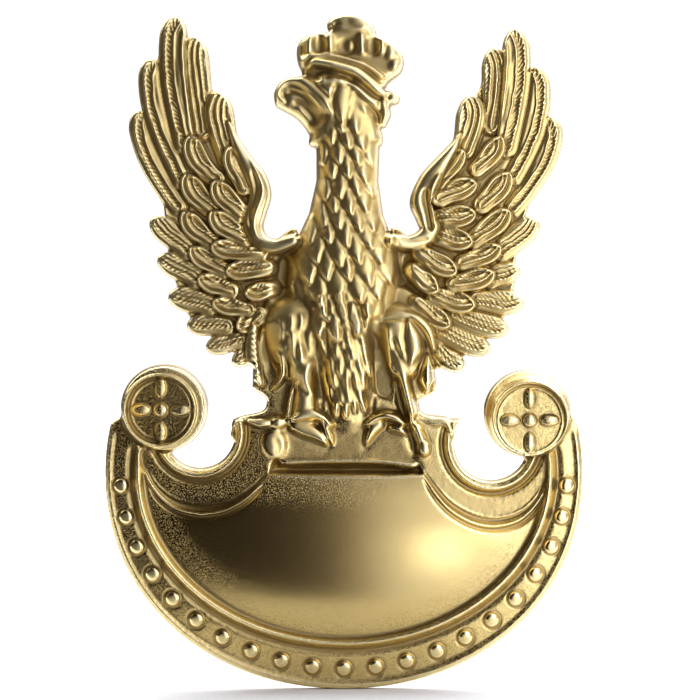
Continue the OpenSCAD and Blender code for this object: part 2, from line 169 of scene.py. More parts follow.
def true_distance(f):
    """Turns a function that is zero on an outline into the distance from it, near the outline."""
    gz, gx = np.gradient(f, STEP)
    return f / np.maximum(np.hypot(gx, gz), 0.25)


# ---------- lines


def catmull(a, b, c, d, t):
    """A point between b and c on the smooth line through four points."""
    return 0.5 * (2 * b + (c - a) * t + (2 * a - 5 * b + 4 * c - d) * t**2 + (3 * b - a - 3 * c + d) * t**3)


class Line:
    """A smooth line through listed points, with any number of values along it."""

    SPAN = 6

    def __init__(self, points, closed=False):
        p = np.asarray(points, float)
        if closed:
            p = np.vstack([p, p[0]])
            ends = [p[-2], p[1]]
        else:
            ends = [2 * p[0] - p[1], 2 * p[-1] - p[-2]]
        q = np.vstack([ends[0], p, ends[1]])
        fine = [
            catmull(q[i], q[i + 1], q[i + 2], q[i + 3], k / self.SPAN)
            for i in range(len(p) - 1)
            for k in range(self.SPAN)
        ]
        self.set_points(np.array(fine + [p[-1]]), self.SPAN)

    def set_points(self, points, span):
        self.points = points
        step = np.diff(points, axis=0)
        self.lengths = np.hypot(step[:, 0], step[:, 1])
        self.unit = step / self.lengths[:, None]
        self.start = np.concatenate([[0], np.cumsum(self.lengths)])
        self.length = self.start[-1]
        self.stations = self.start[::span]

    def near(self, part):
        """How far along the line the nearest point of it is, and the offset from it, positive to the left."""
        x, z = X[part], Z[part]
        best = np.full(x.shape, 1e9)
        along = np.zeros(x.shape)
        side = np.ones(x.shape)
        for k, (ux, uz) in enumerate(self.unit):
            px, pz = x - self.points[k, 0], z - self.points[k, 1]
            t = np.clip(px * ux + pz * uz, 0, self.lengths[k])
            away = (px - t * ux) ** 2 + (pz - t * uz) ** 2
            nearer = away < best
            best[nearer] = away[nearer]
            along[nearer] = (self.start[k] + t)[nearer]
            side[nearer] = np.sign(ux * pz - uz * px)[nearer]
        return along, np.where(side == 0, 1, side) * np.sqrt(best)

    def values(self, along, given):
        """Values given at the listed points, spread along the line."""
        if np.ndim(given) == 0:
            return np.full(along.shape, float(given))
        return np.interp(along, self.stations, given)


class Shaft(Line):
    """The curved shaft of a feather, from its base to its tip."""

    COUNT = 16

    def __init__(self, tip, middle, base):
        tip, middle, base = (np.asarray(p, float) for p in (tip, middle, base))
        bend = 2 * middle - (tip + base) / 2
        t = np.linspace(0, 1, self.COUNT + 1)[:, None]
        self.set_points((1 - t) ** 2 * base + 2 * t * (1 - t) * bend + t**2 * tip, self.COUNT)


def inside_distance(loop, part):
    """Distance from a closed line, negative inside it."""
    x, z = X[part], Z[part]
    _, offset = loop.near(part)
    crossings = np.zeros(x.shape, int)
    p = loop.points
    for (ax, az), (bx, bz) in zip(p[:-1], p[1:]):
        if az == bz:
            continue
        spans = (az > z) != (bz > z)
        crossings += spans & (x < ax + (z - az) / (bz - az) * (bx - ax))
    return np.where(crossings % 2 == 1, -1, 1) * np.abs(offset)


# ---------- ways to paint the relief

SOFT = 0.07  # half width of the step at a shape's edge
BLEND = 0.15  # rounding where the outlines of two shapes cross


def add_outline(part, edge):
    outline[part] = smaller(outline[part], edge, BLEND)


def lay(part, top, edge, soft=SOFT):
    """Lays a shape over what is there. edge is the distance from its outline, negative inside."""
    cover = ramp(soft, -soft, edge)
    height[part] = mix(height[part], top, cover)


def sink_round(part, edge, depth=0.1, width=0.16):
    """Sinks the surface in a valley along the outside of a shape's edge."""
    height[part] -= depth * bell(edge, 0.03, width) * (edge > -0.1)


def plate(points, top, swell=0.0, radius=1.0):
    """A flat shape inside a closed line, whose top swells up from the edge."""
    loop = Line(points, closed=True)
    part = window(loop.points, 0.5)
    d = inside_distance(loop, part)
    add_outline(part, d)
    lay(part, larger(height[part], top + swell * rounded(-d, radius), 0.1), d)


def tube(points, radii, tops):
    """A round back through the points, merged softly with what is there."""
    line = Line(points)
    part = window(line.points, np.max(radii) + 0.3)
    s, n = line.near(part)
    r = line.values(s, radii)
    edge = np.abs(n) - r
    add_outline(part, true_distance(edge))
    top = mix(RIM, line.values(s, tops), arch(n / r))
    height[part] = np.where(edge < 0, larger(height[part], top, 0.2), height[part])


def stroke(points, widths, level, swell, valley=0.06, bounds=False):
    """A raised band laid over the surface: level is its height at the edges and swell its extra height."""
    line = Line(points)
    part = window(line.points, np.max(widths) / 2 + 0.5)
    s, n = line.near(part)
    half = np.maximum(line.values(s, widths) / 2, 0.02)
    edge = true_distance(np.abs(n) - half)
    if bounds:
        add_outline(part, edge)
    sink_round(part, edge, valley)
    lay(part, line.values(s, level) + swell * arch(n / half), edge)


def rib(points, width, rise):
    """A rib that rises from the surface as it is, with pointed ends."""
    line = Line(points)
    part = window(line.points, 3 * np.max(width))
    s, n = line.near(part)
    ends = np.minimum(s, line.length - s) / line.length
    w = line.values(s, width) / 2 * np.sqrt(np.clip(ends * 5, 0.02, 1))
    height[part] += line.values(s, rise) * bell(n, 0, w) * ramp(0, 0.12, ends)


def groove(points, width, depth):
    """The same as a rib, but sunk."""
    rib(points, width, -depth)


def boss(centre, rx, rz, rise, angle=0.0, level=None, bounds=False, power=0.5):
    """A round lump. With a level it is laid over the surface, without one it is added to it."""
    c = np.asarray(centre, float)
    part = window([c], max(rx, rz) + 0.4)
    a = math.radians(angle)
    dx, dz = X[part] - c[0], Z[part] - c[1]
    u = (dx * math.cos(a) + dz * math.sin(a)) / rx
    v = (-dx * math.sin(a) + dz * math.cos(a)) / rz
    q = u * u + v * v
    d = true_distance(np.sqrt(q) - 1)
    dome = np.clip(1 - q, 0, 1) ** power
    if bounds:
        add_outline(part, d)
    if level is None:
        height[part] += rise * dome
    else:
        lay(part, level + rise * dome, d)


# ---------- feathers

# Each one: tip, middle and base of the shaft, and width

LEFT_PRIMARIES = [
    [(-18.2, 25.7), (-17.4, 21.8), (-14.8, 17.2), 2.1],
    [(-17, 30.3), (-16.9, 25.8), (-14.5, 19.6), 2.1],
    [(-14.8, 34.1), (-15.2, 29.5), (-14.2, 22.9), 2.5],
    [(-13.4, 32.3), (-13, 28.3), (-12.6, 24), 2.4],
    [(-11.1, 27.4), (-11, 24.9), (-10.2, 21.5), 2.6],
]
LEFT_SECONDARIES = [
    [(-17.2, 16), (-15.8, 15), (-14, 13.3), 2.2],
    [(-16.6, 12.3), (-15, 12), (-13.2, 10.8), 2.3],
    [(-15.6, 9), (-14, 9), (-12, 8.4), 2.3],
    [(-13.9, 6.4), (-12.5, 6.7), (-10.5, 6.5), 2],
    [(-12.2, 4.5), (-10.8, 5), (-9, 5.3), 1.9],
    [(-9.9, 3.2), (-9, 3.8), (-8, 4.6), 1.7],
]
LEFT_COVERTS = [
    [(-13.6, 23.5), (-12.9, 21.3), (-11.3, 19.6), 1.6],
    [(-14, 20.1), (-13.2, 18.5), (-11.6, 16.8), 1.7],
    [(-14.1, 16.8), (-13.4, 15.5), (-11.7, 14), 1.6],
    [(-13.6, 13.6), (-12.5, 12.6), (-10.6, 11.5), 1.5],
    [(-13, 10.8), (-11.8, 10.4), (-10, 9.7), 1.5],
    [(-11.7, 8.7), (-10.5, 8.4), (-8.5, 8), 1.4],
    [(-9.5, 6.3), (-8.6, 6.8), (-7.5, 7.5), 1.6],
]
LEFT_LESSER_COVERTS = [
    [(-10.1, 22.5), (-9.6, 20.8), (-8.8, 18.9), 1.6],
    [(-11.4, 19.5), (-10.7, 18.2), (-9, 16.5), 1.7],
    [(-11.7, 16.8), (-10.8, 15.7), (-8.8, 14.4), 1.7],
    [(-11.8, 13.7), (-10, 13.3), (-7.3, 13.1), 1.5],
    [(-10.5, 11.4), (-9, 11.5), (-6.7, 11.7), 1.5],
    [(-8.8, 9.4), (-7.5, 9.6), (-6.2, 9.9), 1.4],
]
RIGHT_PRIMARIES = [
    [(18.3, 25.1), (17.9, 21.5), (15, 17), 2.1],
    [(17, 29.6), (17.1, 25), (15, 19.8), 2.1],
    [(15.1, 33), (15.3, 28.5), (14.4, 22.5), 2.5],
    [(13.3, 31.3), (13.4, 28), (13.1, 24.3), 2.3],
    [(11.3, 27.1), (11.2, 24.8), (10.6, 22.3), 2.6],
]
RIGHT_SECONDARIES = [
    [(17.3, 15.9), (15.8, 14.8), (14, 13.2), 2.4],
    [(15.6, 11.2), (14.4, 11.3), (13, 10.7), 2.2],
    [(16, 8.6), (13.8, 8.7), (11.8, 8.9), 2.2],
    [(14.6, 6.2), (12, 6.8), (9.8, 7.6), 2.1],
    [(13, 4.5), (10.5, 5.3), (8, 6.6), 2.1],
    [(10.8, 3), (9.3, 3.6), (8, 4.8), 1.9],
]
RIGHT_COVERTS = [
    [(13.8, 23.4), (13.2, 22), (11.8, 20.5), 1.5],
    [(14.6, 20.2), (13.8, 18.9), (12.3, 17.3), 1.7],
    [(14.7, 16.8), (13.3, 15.6), (11.5, 14.2), 1.7],
    [(13.9, 13.6), (12.5, 12.9), (10.5, 12.2), 1.5],
    [(13.3, 11.3), (12, 10.8), (9.8, 10.3), 1.6],
    [(11.6, 8.4), (10, 8.7), (8, 9.3), 1.6],
    [(9.4, 6.6), (8.2, 7.3), (6.5, 8.6), 1.5],
]
RIGHT_LESSER_COVERTS = [
    [(10.7, 22), (9.6, 21), (8.2, 19.3), 1.6],
    [(11.8, 19), (10.3, 18.7), (8.6, 17.9), 1.7],
    [(11.7, 16.4), (10.3, 16.3), (8.5, 16.1), 1.7],
    [(11.4, 14), (10, 14.2), (8.3, 14.6), 1.7],
    [(10, 11.3), (8.5, 12), (6.8, 13), 1.6],
    [(8.3, 9.6), (7.3, 10.4), (6.1, 11.5), 1.5],
]

# Sheet behind the feathers of each wing
LEFT_WEB = [
    (-4, 14.6), (-6.2, 14.2), (-7.3, 14.7), (-7.4, 16.5), (-6.9, 18.4), (-7.7, 20.4), (-9.3, 23),
    (-10.3, 25.6), (-11.7, 27.6), (-12.7, 30), (-13.8, 32), (-15.5, 31.5), (-16.7, 30),
    (-17.7, 25.7), (-17.9, 22), (-16.4, 18.2), (-16, 17.1), (-15.7, 13.7), (-15, 10.6),
    (-13.8, 7.5), (-12, 5.8), (-9.7, 4.2), (-7.8, 2.8), (-5, 3.4),
]
RIGHT_WEB = [
    (4, 14.7), (6.2, 14.2), (7.1, 14.9), (6.7, 16.4), (6.4, 17.6), (7.9, 20), (9.7, 23),
    (10.4, 25.6), (11.9, 27.4), (13, 30), (14, 31), (15.2, 31.5), (16.4, 29.4),
    (17.8, 25.2), (18, 21.8), (16.9, 18.4), (16.3, 17), (15.3, 12.8), (15.1, 10),
    (14.3, 7.5), (12.8, 5.5), (10.8, 4), (8, 2.7), (5, 3.4),
]

TIP_ROUND = 1.7  # length of a feather's rounded end over its half width
BARB_PITCH = 0.44
BARB_SLANT = 3.0  # barbs that a line straight across the feather would cross in a millimetre
WING_FALL = 0.085  # slope of a wing, down to its outer edge
WING_MIDDLE = 13.0  # |x| where that slope changes nothing

# Ribs of a feather: distance from its outer edge, half width, rise and depth of its barbs
LONG_RIBS = [(0.62, 0.15, 0.26, 0.26), (1.32, 0.08, 0.16, 0.0)]
FULL_RIBS = [(0.62, 0.15, 0.26, 0.26), (1.38, 0.08, 0.16, 0.0), (2.2, 0.13, 0.24, 0.0)]
SMOOTH_RIBS = [(0.5, 0.13, 0.26, 0.06), (1.05, 0.11, 0.24, 0.0), (1.6, 0.11, 0.22, 0.08)]
SHORT_RIBS = [(0.62, 0.12, 0.24, 0.16), (1.06, 0.09, 0.2, 0.03), (1.46, 0.08, 0.16, 0.06)]
COVERT_RIBS = [(0.72, 0.12, 0.34, 0.05), (1.2, 0.09, 0.24, 0.14)]


# The long feathers in the order they are laid: which one, its height, how much its tip lifts, and its ribs
PRIMARY_LAYERS = [
    (3, 1.6, 0.25, SMOOTH_RIBS), (0, 1.72, 0.3, LONG_RIBS), (1, 1.8, 0.3, LONG_RIBS),
    (2, 1.86, 0.3, FULL_RIBS), (4, 1.8, 0.3, SMOOTH_RIBS),
]
WEB_TOP = 1.55


def feather(f, outward, level, lift, ribs, seed, widen=1.0, hem=0.0):
    """One feather with a smooth outer margin, barbed and plain ribs, and a vane between them."""
    shaft = Shaft(*f[:3])
    width = f[3] * widen
    part = window(shaft.points, width / 2 + 0.5)
    s, n = shaft.near(part)
    t = s / shaft.length
    nose = min(TIP_ROUND * width / 2, 0.6 * shaft.length)
    half = width / 2 * (0.82 + 0.18 * ramp(0, 0.6, t))
    half = half * np.sqrt(1 - np.clip((s - shaft.length + nose) / nose, 0, 1) ** 2)
    edge = true_distance(np.abs(n) - half)
    v = half - outward * n
    fall = WING_FALL * (WING_MIDDLE - np.abs(X[part]))
    top = level + lift * t + fall + 0.07 * (v - 1)
    top -= 0.22 * (1 - rounded(-edge, 0.24))
    top += hem * (0.6 * bell(-edge, 0.2, 0.14) - bell(-edge, 0.5, 0.17)) * ramp(0.1, 0.5, t)
    wobble = noise(s * 1.3 + seed * 17.3, v * 2.2 + seed * 5.1)
    tip_fade = ramp(0.12, 0.7, shaft.length - s) * ramp(0.05, 0.3, -edge)
    for place, width, rise, barb in ribs:
        centre = place + 0.12 * (wobble - 0.5)
        top += rise * bell(v, centre, width) * tip_fade
        if barb:
            phase = s / BARB_PITCH + BARB_SLANT * (v - place) + 0.8 * wobble + seed * 0.37
            side = ramp(place - 0.15, place + 0.1, v) * ramp(place + 0.75, place + 0.15, v)
            top += barb * (0.5 * np.sin(2 * math.pi * phase) - 0.15) * side * tip_fade
    streak = noise(s * 0.9 + seed * 31.7, v * 5.5 + seed * 3.3) - 0.5
    top += 0.09 * streak * ramp(0.4, 0.7, v) * tip_fade
    add_outline(part, edge)
    sink_round(part, edge, 0.14)
    lay(part, top, edge, 0.05)


def row(feathers, outward, level, lift, ribs, seed, **fringe):
    """Feathers painted from the last to the first, so that each lies over the one below."""
    for i in reversed(range(len(feathers))):
        feather(feathers[i], outward, level, lift, ribs, seed + i, **fringe)


def wing(primaries, secondaries, coverts, lesser, web, outward, seed):
    """One wing, from the sheet behind it to the small feathers by the arm."""
    plate(web, WEB_TOP)
    row(secondaries, outward, 1.75, 0.2, SHORT_RIBS + [(1.8, 0.1, 0.1, 0.05)], seed)
    for k, (i, level, lift, ribs) in enumerate(PRIMARY_LAYERS):
        feather(primaries[i], outward, level, lift, ribs, seed + 10 + k)
    row(coverts, outward, 1.95, 0.3, COVERT_RIBS, seed + 20, widen=1.25, hem=0.24)
    row(lesser, outward, 2.2, 0.3, COVERT_RIBS, seed + 30, widen=1.25, hem=0.24)


LEFT_ARM = [
    (-10.2, 24.6), (-9.5, 22.7), (-8.6, 21), (-7.8, 19.7), (-7.4, 18.3), (-7.75, 16.8), (-8.05, 15.4),
    (-7.4, 14.1), (-6, 13.65), (-4.4, 14.1),
]
RIGHT_ARM = [
    (10.3, 23.6), (9.6, 22.3), (8.6, 20.9), (7.6, 19.5), (6.8, 17.7), (7.2, 16.4), (7.6, 15.2),
    (6.9, 14.3), (5.6, 13.9), (4.2, 14.1),
]
ARM_WIDTHS = [0.2, 1.0, 1.5, 1.9, 1.9, 1.8, 1.8, 1.6, 1.4, 1.2]
ARM_LEVELS = [1.9, 2, 2.1, 2.1, 2, 2, 2, 2.1, 2.3, 2.6]


def arms():
    """The bony front edge of each wing."""
    for path in (LEFT_ARM, RIGHT_ARM):
        stroke(path, ARM_WIDTHS, ARM_LEVELS, 0.75, valley=0.2, bounds=True)
    rib([(-8.6, 22), (-7.6, 20), (-7.15, 18.4), (-7.9, 16.2), (-7.85, 15), (-7.3, 14.2), (-5.2, 14)],
        0.4, 0.16)
    groove([(-8.2, 20.6), (-7.75, 18.6), (-8.3, 16.4), (-8.2, 15)], 0.5, 0.2)
    groove([(7.3, 18.9), (7.2, 17.8), (7.5, 16.4), (7.7, 14.8)], 0.6, 0.5)
    rib([(8.6, 20.2), (7.9, 18.8), (7.75, 17.2), (8, 15.4)], 0.5, 0.3)
    groove([(5, 14.25), (6.4, 14.15), (7.6, 14.3)], 0.25, 0.2)


# ---------- body

BODY = [
    (-0.3, 27.5), (0.3, 24), (0.3, 19.5), (0.2, 16.5), (0.1, 13.5), (0, 10.5), (0.3, 7), (0.4, 2.5),
    (0.4, -0.5),
]
BODY_RADII = [3.1, 2.85, 2.75, 3.3, 4.6, 5.2, 4.2, 3, 2.4]
BODY_TOPS = [3.5, 3.45, 3.55, 3.8, 4.2, 4.2, 4.0, 3.6, 3.2]
NECK_MIDDLE = 0.3
SCALES_TOP, SCALES_BOTTOM = 24.9, 5.2
BREAST_TOP, BREAST_FULL = 17.0, 12.5
SCALE_REACH_Z = [5, 8, 12, 14.5, 17, 24.5]
SCALE_REACH = [3.2, 4.6, 4.8, 4.2, 3.0, 2.8]  # half width of the scaly part at those heights


def leaf(tip, length, width, lean, base, rise, keel, seed):
    """A pointed scale that hangs from its root to its tip, with a keel along its middle."""
    tip = np.asarray(tip, float)
    root = tip + length * np.array([-math.sin(lean), math.cos(lean)])
    bend = (tip + root) / 2 + 0.1 * width * np.array([-math.cos(lean), -math.sin(lean)])
    shaft = Shaft(tip, bend, root)
    part = window(shaft.points, width / 2 + 0.3)
    s, n = shaft.near(part)
    t = s / shaft.length
    half = width / 2 * np.clip(1 - np.clip((t - 0.3) / 0.7, 0, 1) ** 1.5, 0, 1) ** 0.9
    edge = true_distance(np.abs(n) - half)
    u = np.clip(n / np.maximum(half, 0.05), -1, 1)
    wobble = noise(s * 2.3 + seed * 13.1, n * 3.1 + seed * 7.7) - 0.5
    ridge = 1 - np.abs(u - 0.25) ** 1.8
    top = base[part] + rise * (0.1 + 0.9 * t) + keel * ridge + 0.08 * wobble
    sink_round(part, edge, 0.12, 0.12)
    lay(part, top, edge, 0.04)


def scales():
    """Rows of pointed scales down the neck and breast, longer and looser towards the belly."""
    dice = np.random.default_rng(5)
    base = height.copy()
    rows = []
    z = SCALES_TOP
    while z > SCALES_BOTTOM:
        on_breast = ramp(BREAST_TOP, BREAST_FULL, z)
        rows.append((z, mix(1.45, 1.8, on_breast), mix(2.8, 3.4, on_breast)))
        z -= mix(1.42, 1.65, on_breast)
    for k, (z, pitch, length) in reversed(list(enumerate(rows))):
        reach = np.interp(z, SCALE_REACH_Z, SCALE_REACH)
        count = int(reach / pitch) + 1
        for j in range(-count, count + 1):
            x = NECK_MIDDLE + (j + (k % 2) / 2) * pitch
            if abs(x - NECK_MIDDLE) > reach - 0.3 * pitch:
                continue
            x += dice.uniform(-0.18, 0.18)
            tip = (x + 0.25, z + dice.uniform(-0.3, 0.3))
            spread = 0.14 + 0.02 * (x - NECK_MIDDLE) * on_breast + dice.uniform(-0.08, 0.08)
            size = dice.uniform(0.92, 1.1)
            leaf(tip, length * size, pitch * 1.16, spread, base, 0.5, 0.22, seed=k * 9 + j)


def body():
    """Neck, breast and belly, with the folds where they meet the wings."""
    tube(BODY, BODY_RADII, BODY_TOPS)
    scales()
    groove([(-5.3, 13), (-5.5, 11), (-5.4, 9.2), (-5.2, 8)], [1, 1.3, 1.3, 1], 0.9)
    groove([(5.5, 13), (5.6, 11.5), (5.5, 10)], 0.35, 0.3)
    rib([(-4.8, 13.1), (-4.75, 12.4), (-4.7, 11.7)], 0.25, 0.3)
    rib([(-4.7, 10.6), (-4.5, 9.6), (-4.1, 8.2)], 0.5, 0.35)


def tail():
    """Long ragged plumes that hang between the legs, each row over the roots of the row below."""
    dice = np.random.default_rng(8)
    middle, reach, pitch = 0.4, 2.3, 0.9
    tube([(0.5, 6), (0.5, 2.5), (middle, -1.2)], [2.6, 2.6, 2.3], [3.5, 3.4, 3.2])
    base = height.copy()
    for k, z in enumerate(np.arange(-1.5, 5.8, 1.2)):
        for j in range(-3, 4):
            x = middle + (j + (k % 2) / 2) * pitch + dice.uniform(-0.15, 0.15)
            if abs(x - middle) < reach:
                tip = (x - 0.15, z + dice.uniform(-0.4, 0.4))
                length, lean = dice.uniform(2.4, 3.5), dice.uniform(0, 0.3)
                leaf(tip, length, 0.92, lean, base, 0.5, 0.26, seed=300 + 9 * k + j)


# ---------- legs and feet

# Sheet behind the legs, whose sides are the outline between the wings and the shield
APRON = [
    (-5.5, 10), (-7.4, 6), (-8, 3.8), (-8.1, 1.6), (-8.05, 1.0), (-7.2, 0.45), (-6.85, -0.1), (-7.1, -0.8),
    (-7.8, -1.1), (-9, -1.35), (-9.6, -1.6), (-10, -2.4), (-9, -4), (0, -5), (9, -4), (9.8, -2.4),
    (9.5, -1.7), (9, -1.4), (8, -1.3), (7.1, -1.1), (6.7, -0.5), (6.8, 0.05), (7.7, 0.5), (8.2, 1),
    (8.1, 2.4), (8, 3.4), (7.2, 6), (5.5, 10),
]


def left_leg():
    """Thigh with its loose feathers, and shank, on the viewer's left."""
    tube([(-4.4, 6.6), (-4.5, 5), (-4, 3.2)], [2.8, 2.6, 2], [3.9, 4.1, 3.9])
    tube([(-3.6, 3.2), (-3.4, 1.2), (-3.4, -1.2)], [1.5, 1.15, 1.55], [4, 3.9, 3.8])
    stroke([(-8, 6.4), (-8.2, 4.6), (-7.9, 2.9), (-7.4, 1.5)], [0.8, 1.1, 1.1, 0.5], 2.4, 0.3, 0.2)
    for z in np.arange(1.9, 6.3, 0.5):
        rib([(-8.35, z + 0.35), (-7.9, z + 0.1), (-7.5, z - 0.3)], 0.16, 0.16)
    boss((-6.4, 4.4), 1.25, 2.5, -0.7, angle=-8, power=1.2)
    for x, z in ((-5.6, 7.1), (-4.7, 7.7), (-3.8, 7.8), (-2.9, 7.4)):
        rib([(x, z), (x + 0.1, z - 0.8), (x - 0.05, z - 1.7)], 0.35, 0.22)
    stroke([(-6, 4.3), (-5.5, 3.8), (-5.3, 2.9), (-5.6, 1.8), (-6.3, 1)],
           [0.15, 0.5, 0.6, 0.5, 0.2], 3.1, 0.3, 0.25)
    groove([(-5.2, 6.2), (-5, 5), (-4.9, 3.6), (-4.8, 1.8)], [0.5, 0.7, 0.8, 0.6], 0.6)
    rib([(-4.8, 5.7), (-5, 5.1), (-5.25, 4.5)], 0.2, 0.3)
    rib([(-4.6, 6.2), (-4.5, 5), (-4.6, 4), (-4.1, 2.9)], 0.3, 0.3)
    groove([(-4.2, 5.6), (-4.25, 4.6), (-4.15, 3.6)], 0.3, 0.3)
    rib([(-3.9, 5), (-3.7, 4.2), (-3.8, 3.3)], 0.4, 0.35)
    groove([(-3.6, 6.2), (-3.4, 5), (-3.3, 4)], 0.45, 0.3)
    boss((-2.6, 5.3), 0.75, 1.6, 0.28, angle=8)
    groove([(-2, 6.9), (-1.5, 5.6), (-1.7, 4.2)], 0.3, 0.25)
    for k in range(4):
        x = -4 + 0.33 * k
        rib([(x + 0.55, 3.4), (x + 0.25, 2.8), (x, 2.1)], 0.2, 0.18)
    rib([(-2.4, 3.8), (-3.2, 2.8), (-3.35, 1.7), (-2.9, 0.8), (-2.4, 0.3)], 0.42, 0.3)
    groove([(-3.9, 1.9), (-3.7, 1.1), (-3.2, 0.4)], 0.45, 0.3)
    groove([(-2, 3.2), (-2, 1.6), (-1.9, 0)], 0.5, 0.35)
    stroke([(-4.5, 1.5), (-4.8, 0), (-5, -1.6)], [0.2, 0.3, 0.3], 3.3, 0.25, 0.12)


def right_leg():
    """Thigh, the hollow inside it, and the long cord down to the right foot."""
    tube([(4.6, 6.2), (5.1, 5), (5.3, 3.4)], [2.7, 2.5, 1.9], [3.9, 4.1, 3.9])
    stroke([(3, 7.2), (4.2, 7.5), (5.4, 7.45), (6.5, 7.1), (7.4, 6.1), (7.9, 4.6)],
           [0.2, 0.8, 0.9, 0.9, 0.8, 0.4], 3.0, 0.45, 0.15)
    boss((2.9, 4.7), 1, 2.8, -1.1, angle=6, power=1.0)
    boss((3.4, 1.9), 0.9, 2, -0.8, angle=14, power=1.0)
    groove([(4.2, 5.6), (4.5, 4.6), (5, 3.8)], [0.3, 0.6, 0.3], 0.5)
    stroke([(5.7, 6.9), (5.95, 5.6), (6.1, 4.4), (5.9, 3.2)], [0.4, 1.5, 1.5, 0.3], 3.45, 0.55, 0.3)
    stroke([(7.4, 4.1), (7.35, 2.9), (7.25, 1.8), (7.3, 1)], [0.2, 1.1, 1.4, 0.6], 2.5, 0.6, 0.35)
    rib([(7.35, 3.4), (7.3, 2.4), (7.4, 1.6)], 0.3, 0.12)
    rib([(3.9, 6.6), (4, 5.2), (4.6, 4.2), (5.3, 3)], 0.35, 0.3)
    rib([(3.7, 3.4), (4.3, 2.6), (4.5, 1.6), (4.2, 0.9)], 0.3, 0.5)
    rib([(3.65, 2.4), (3.8, 1.9), (3.85, 1.4)], 0.25, 0.4)
    stroke([(4.4, 4.4), (5, 3), (5.4, 1.2), (5.9, -1), (6.4, -2.6), (7, -3.8)],
           [0.3, 0.9, 1, 1, 1, 0.9], 3.3, 0.45, 0.2)
    groove([(4.7, 2), (5, 0.4), (5.5, -1.4), (6, -3.2), (6.4, -5.2)], [0.3, 0.4, 0.5, 0.7, 0.6], 0.7)
    rib([(4.3, 0.9), (4.5, -0.4), (5.2, -1.8)], 0.3, 0.25)
    rib([(2.6, 1), (2.9, 0), (2.7, -1)], 0.25, 0.2)
    boss((3.4, -0.4), 1.1, 0.8, 0.3)
    boss((7.05, -4.2), 0.62, 0.75, 0.6, level=3.1)


def feet():
    """Toes and talons, the left foot first."""
    stroke([(-4.6, -1.7), (-4, -1.5), (-2.8, -1.15), (-1.9, -1.5), (-1.1, -2.2)],
           [0.5, 0.8, 0.9, 0.8, 0.4], 3.5, 0.4, 0.1)
    stroke([(-4.5, -2.3), (-3.6, -2.5), (-2.7, -2.8), (-2, -3.3), (-1.4, -4)],
           [0.8, 1.4, 1.4, 1, 0.1], 2.9, 0.55, 0.3)
    stroke([(-1.9, -1.9), (-1.5, -2.6), (-1.2, -3.3), (-1, -3.9)], [0.4, 0.6, 0.5, 0.1], 3.2, 0.4, 0.1)
    stroke([(-5, -1.8), (-6.2, -1.9), (-7.4, -2), (-8.4, -1.8)], [0.8, 0.8, 0.8, 0.3], 2.9, 0.5, 0.15)
    boss((-6.2, -3.8), 1.2, 1.5, 0.7, angle=8, level=2.7)
    groove([(-6.1, -3.2), (-5.75, -4), (-5.9, -4.9)], 0.4, 0.2)
    boss((-5.8, -1.9), 0.7, 0.6, 0.5, level=3)
    stroke([(2, -2.1), (2.7, -1.6), (3.7, -1.3), (4.7, -1.6), (5.4, -2.1)],
           [0.4, 0.7, 0.8, 0.8, 0.4], 3.5, 0.4, 0.1)
    stroke([(3.2, -2.1), (2.6, -2.5), (2.2, -3.2), (1.9, -4)], [0.8, 1, 0.7, 0.1], 3.0, 0.5, 0.3)
    stroke([(4.2, -2.4), (5, -2.6), (5.6, -3)], [0.5, 0.7, 0.2], 3.0, 0.4, 0.15)
    stroke([(6.6, -1.6), (7.8, -1.9), (9, -2), (9.4, -2.8)], [0.9, 0.8, 0.8, 0.4], 2.3, 0.45, 0.1)


# ---------- head and crown

HEAD = [
    (-2.55, 22.4), (-3.1, 23.6), (-3.7, 24.5), (-4.4, 25.15), (-5.3, 25.65), (-6, 26.1), (-6.22, 26.9),
    (-6.1, 27.6), (-5.6, 28.3), (-4.8, 28.68), (-3.8, 28.8), (-2.2, 29.5), (1, 29.3), (3, 27.5), (3.1, 25),
    (3.05, 22.4),
]
CROWN = [
    (-1.4, 32.75), (-2.8, 32.6), (-3.6, 32.2), (-4.1, 31.5), (-4.2, 30.8), (-4.1, 30), (-3.8, 29.3),
    (-3.3, 28.7), (0, 28.2), (3, 27.2), (4, 28.2), (4.9, 28.9), (5.25, 29.5), (5.3, 30.2), (5, 31), (4, 32),
    (3, 32.4), (2.4, 33), (-1, 33.2),
]
FINIAL = [
    (-1.5, 33.3), (-1.3, 33.7), (-0.8, 34.03), (0, 34.25), (1, 34.25), (1.8, 34), (2.4, 33.5), (2.7, 32.9),
    (2.3, 32.3), (0.6, 32.2), (-1.2, 32.8),
]
# Lappet that hangs from the crown behind the head
LAPPET = [
    (2.4, 24.2), (3.4, 24.2), (3.9, 25), (3.9, 25.6), (4.3, 26.3), (4.6, 26.9), (4, 27.3), (3, 27.6),
    (2.3, 26),
]
# Hollows between the crown's ribs: middle and half axes
CROWN_HOLLOWS = [
    (-2.2, 31.4, 0.5, 0.85), (0.25, 31.2, 0.85, 0.75), (2.5, 31.2, 0.6, 0.8), (-3.7, 30.9, 0.3, 0.6),
]


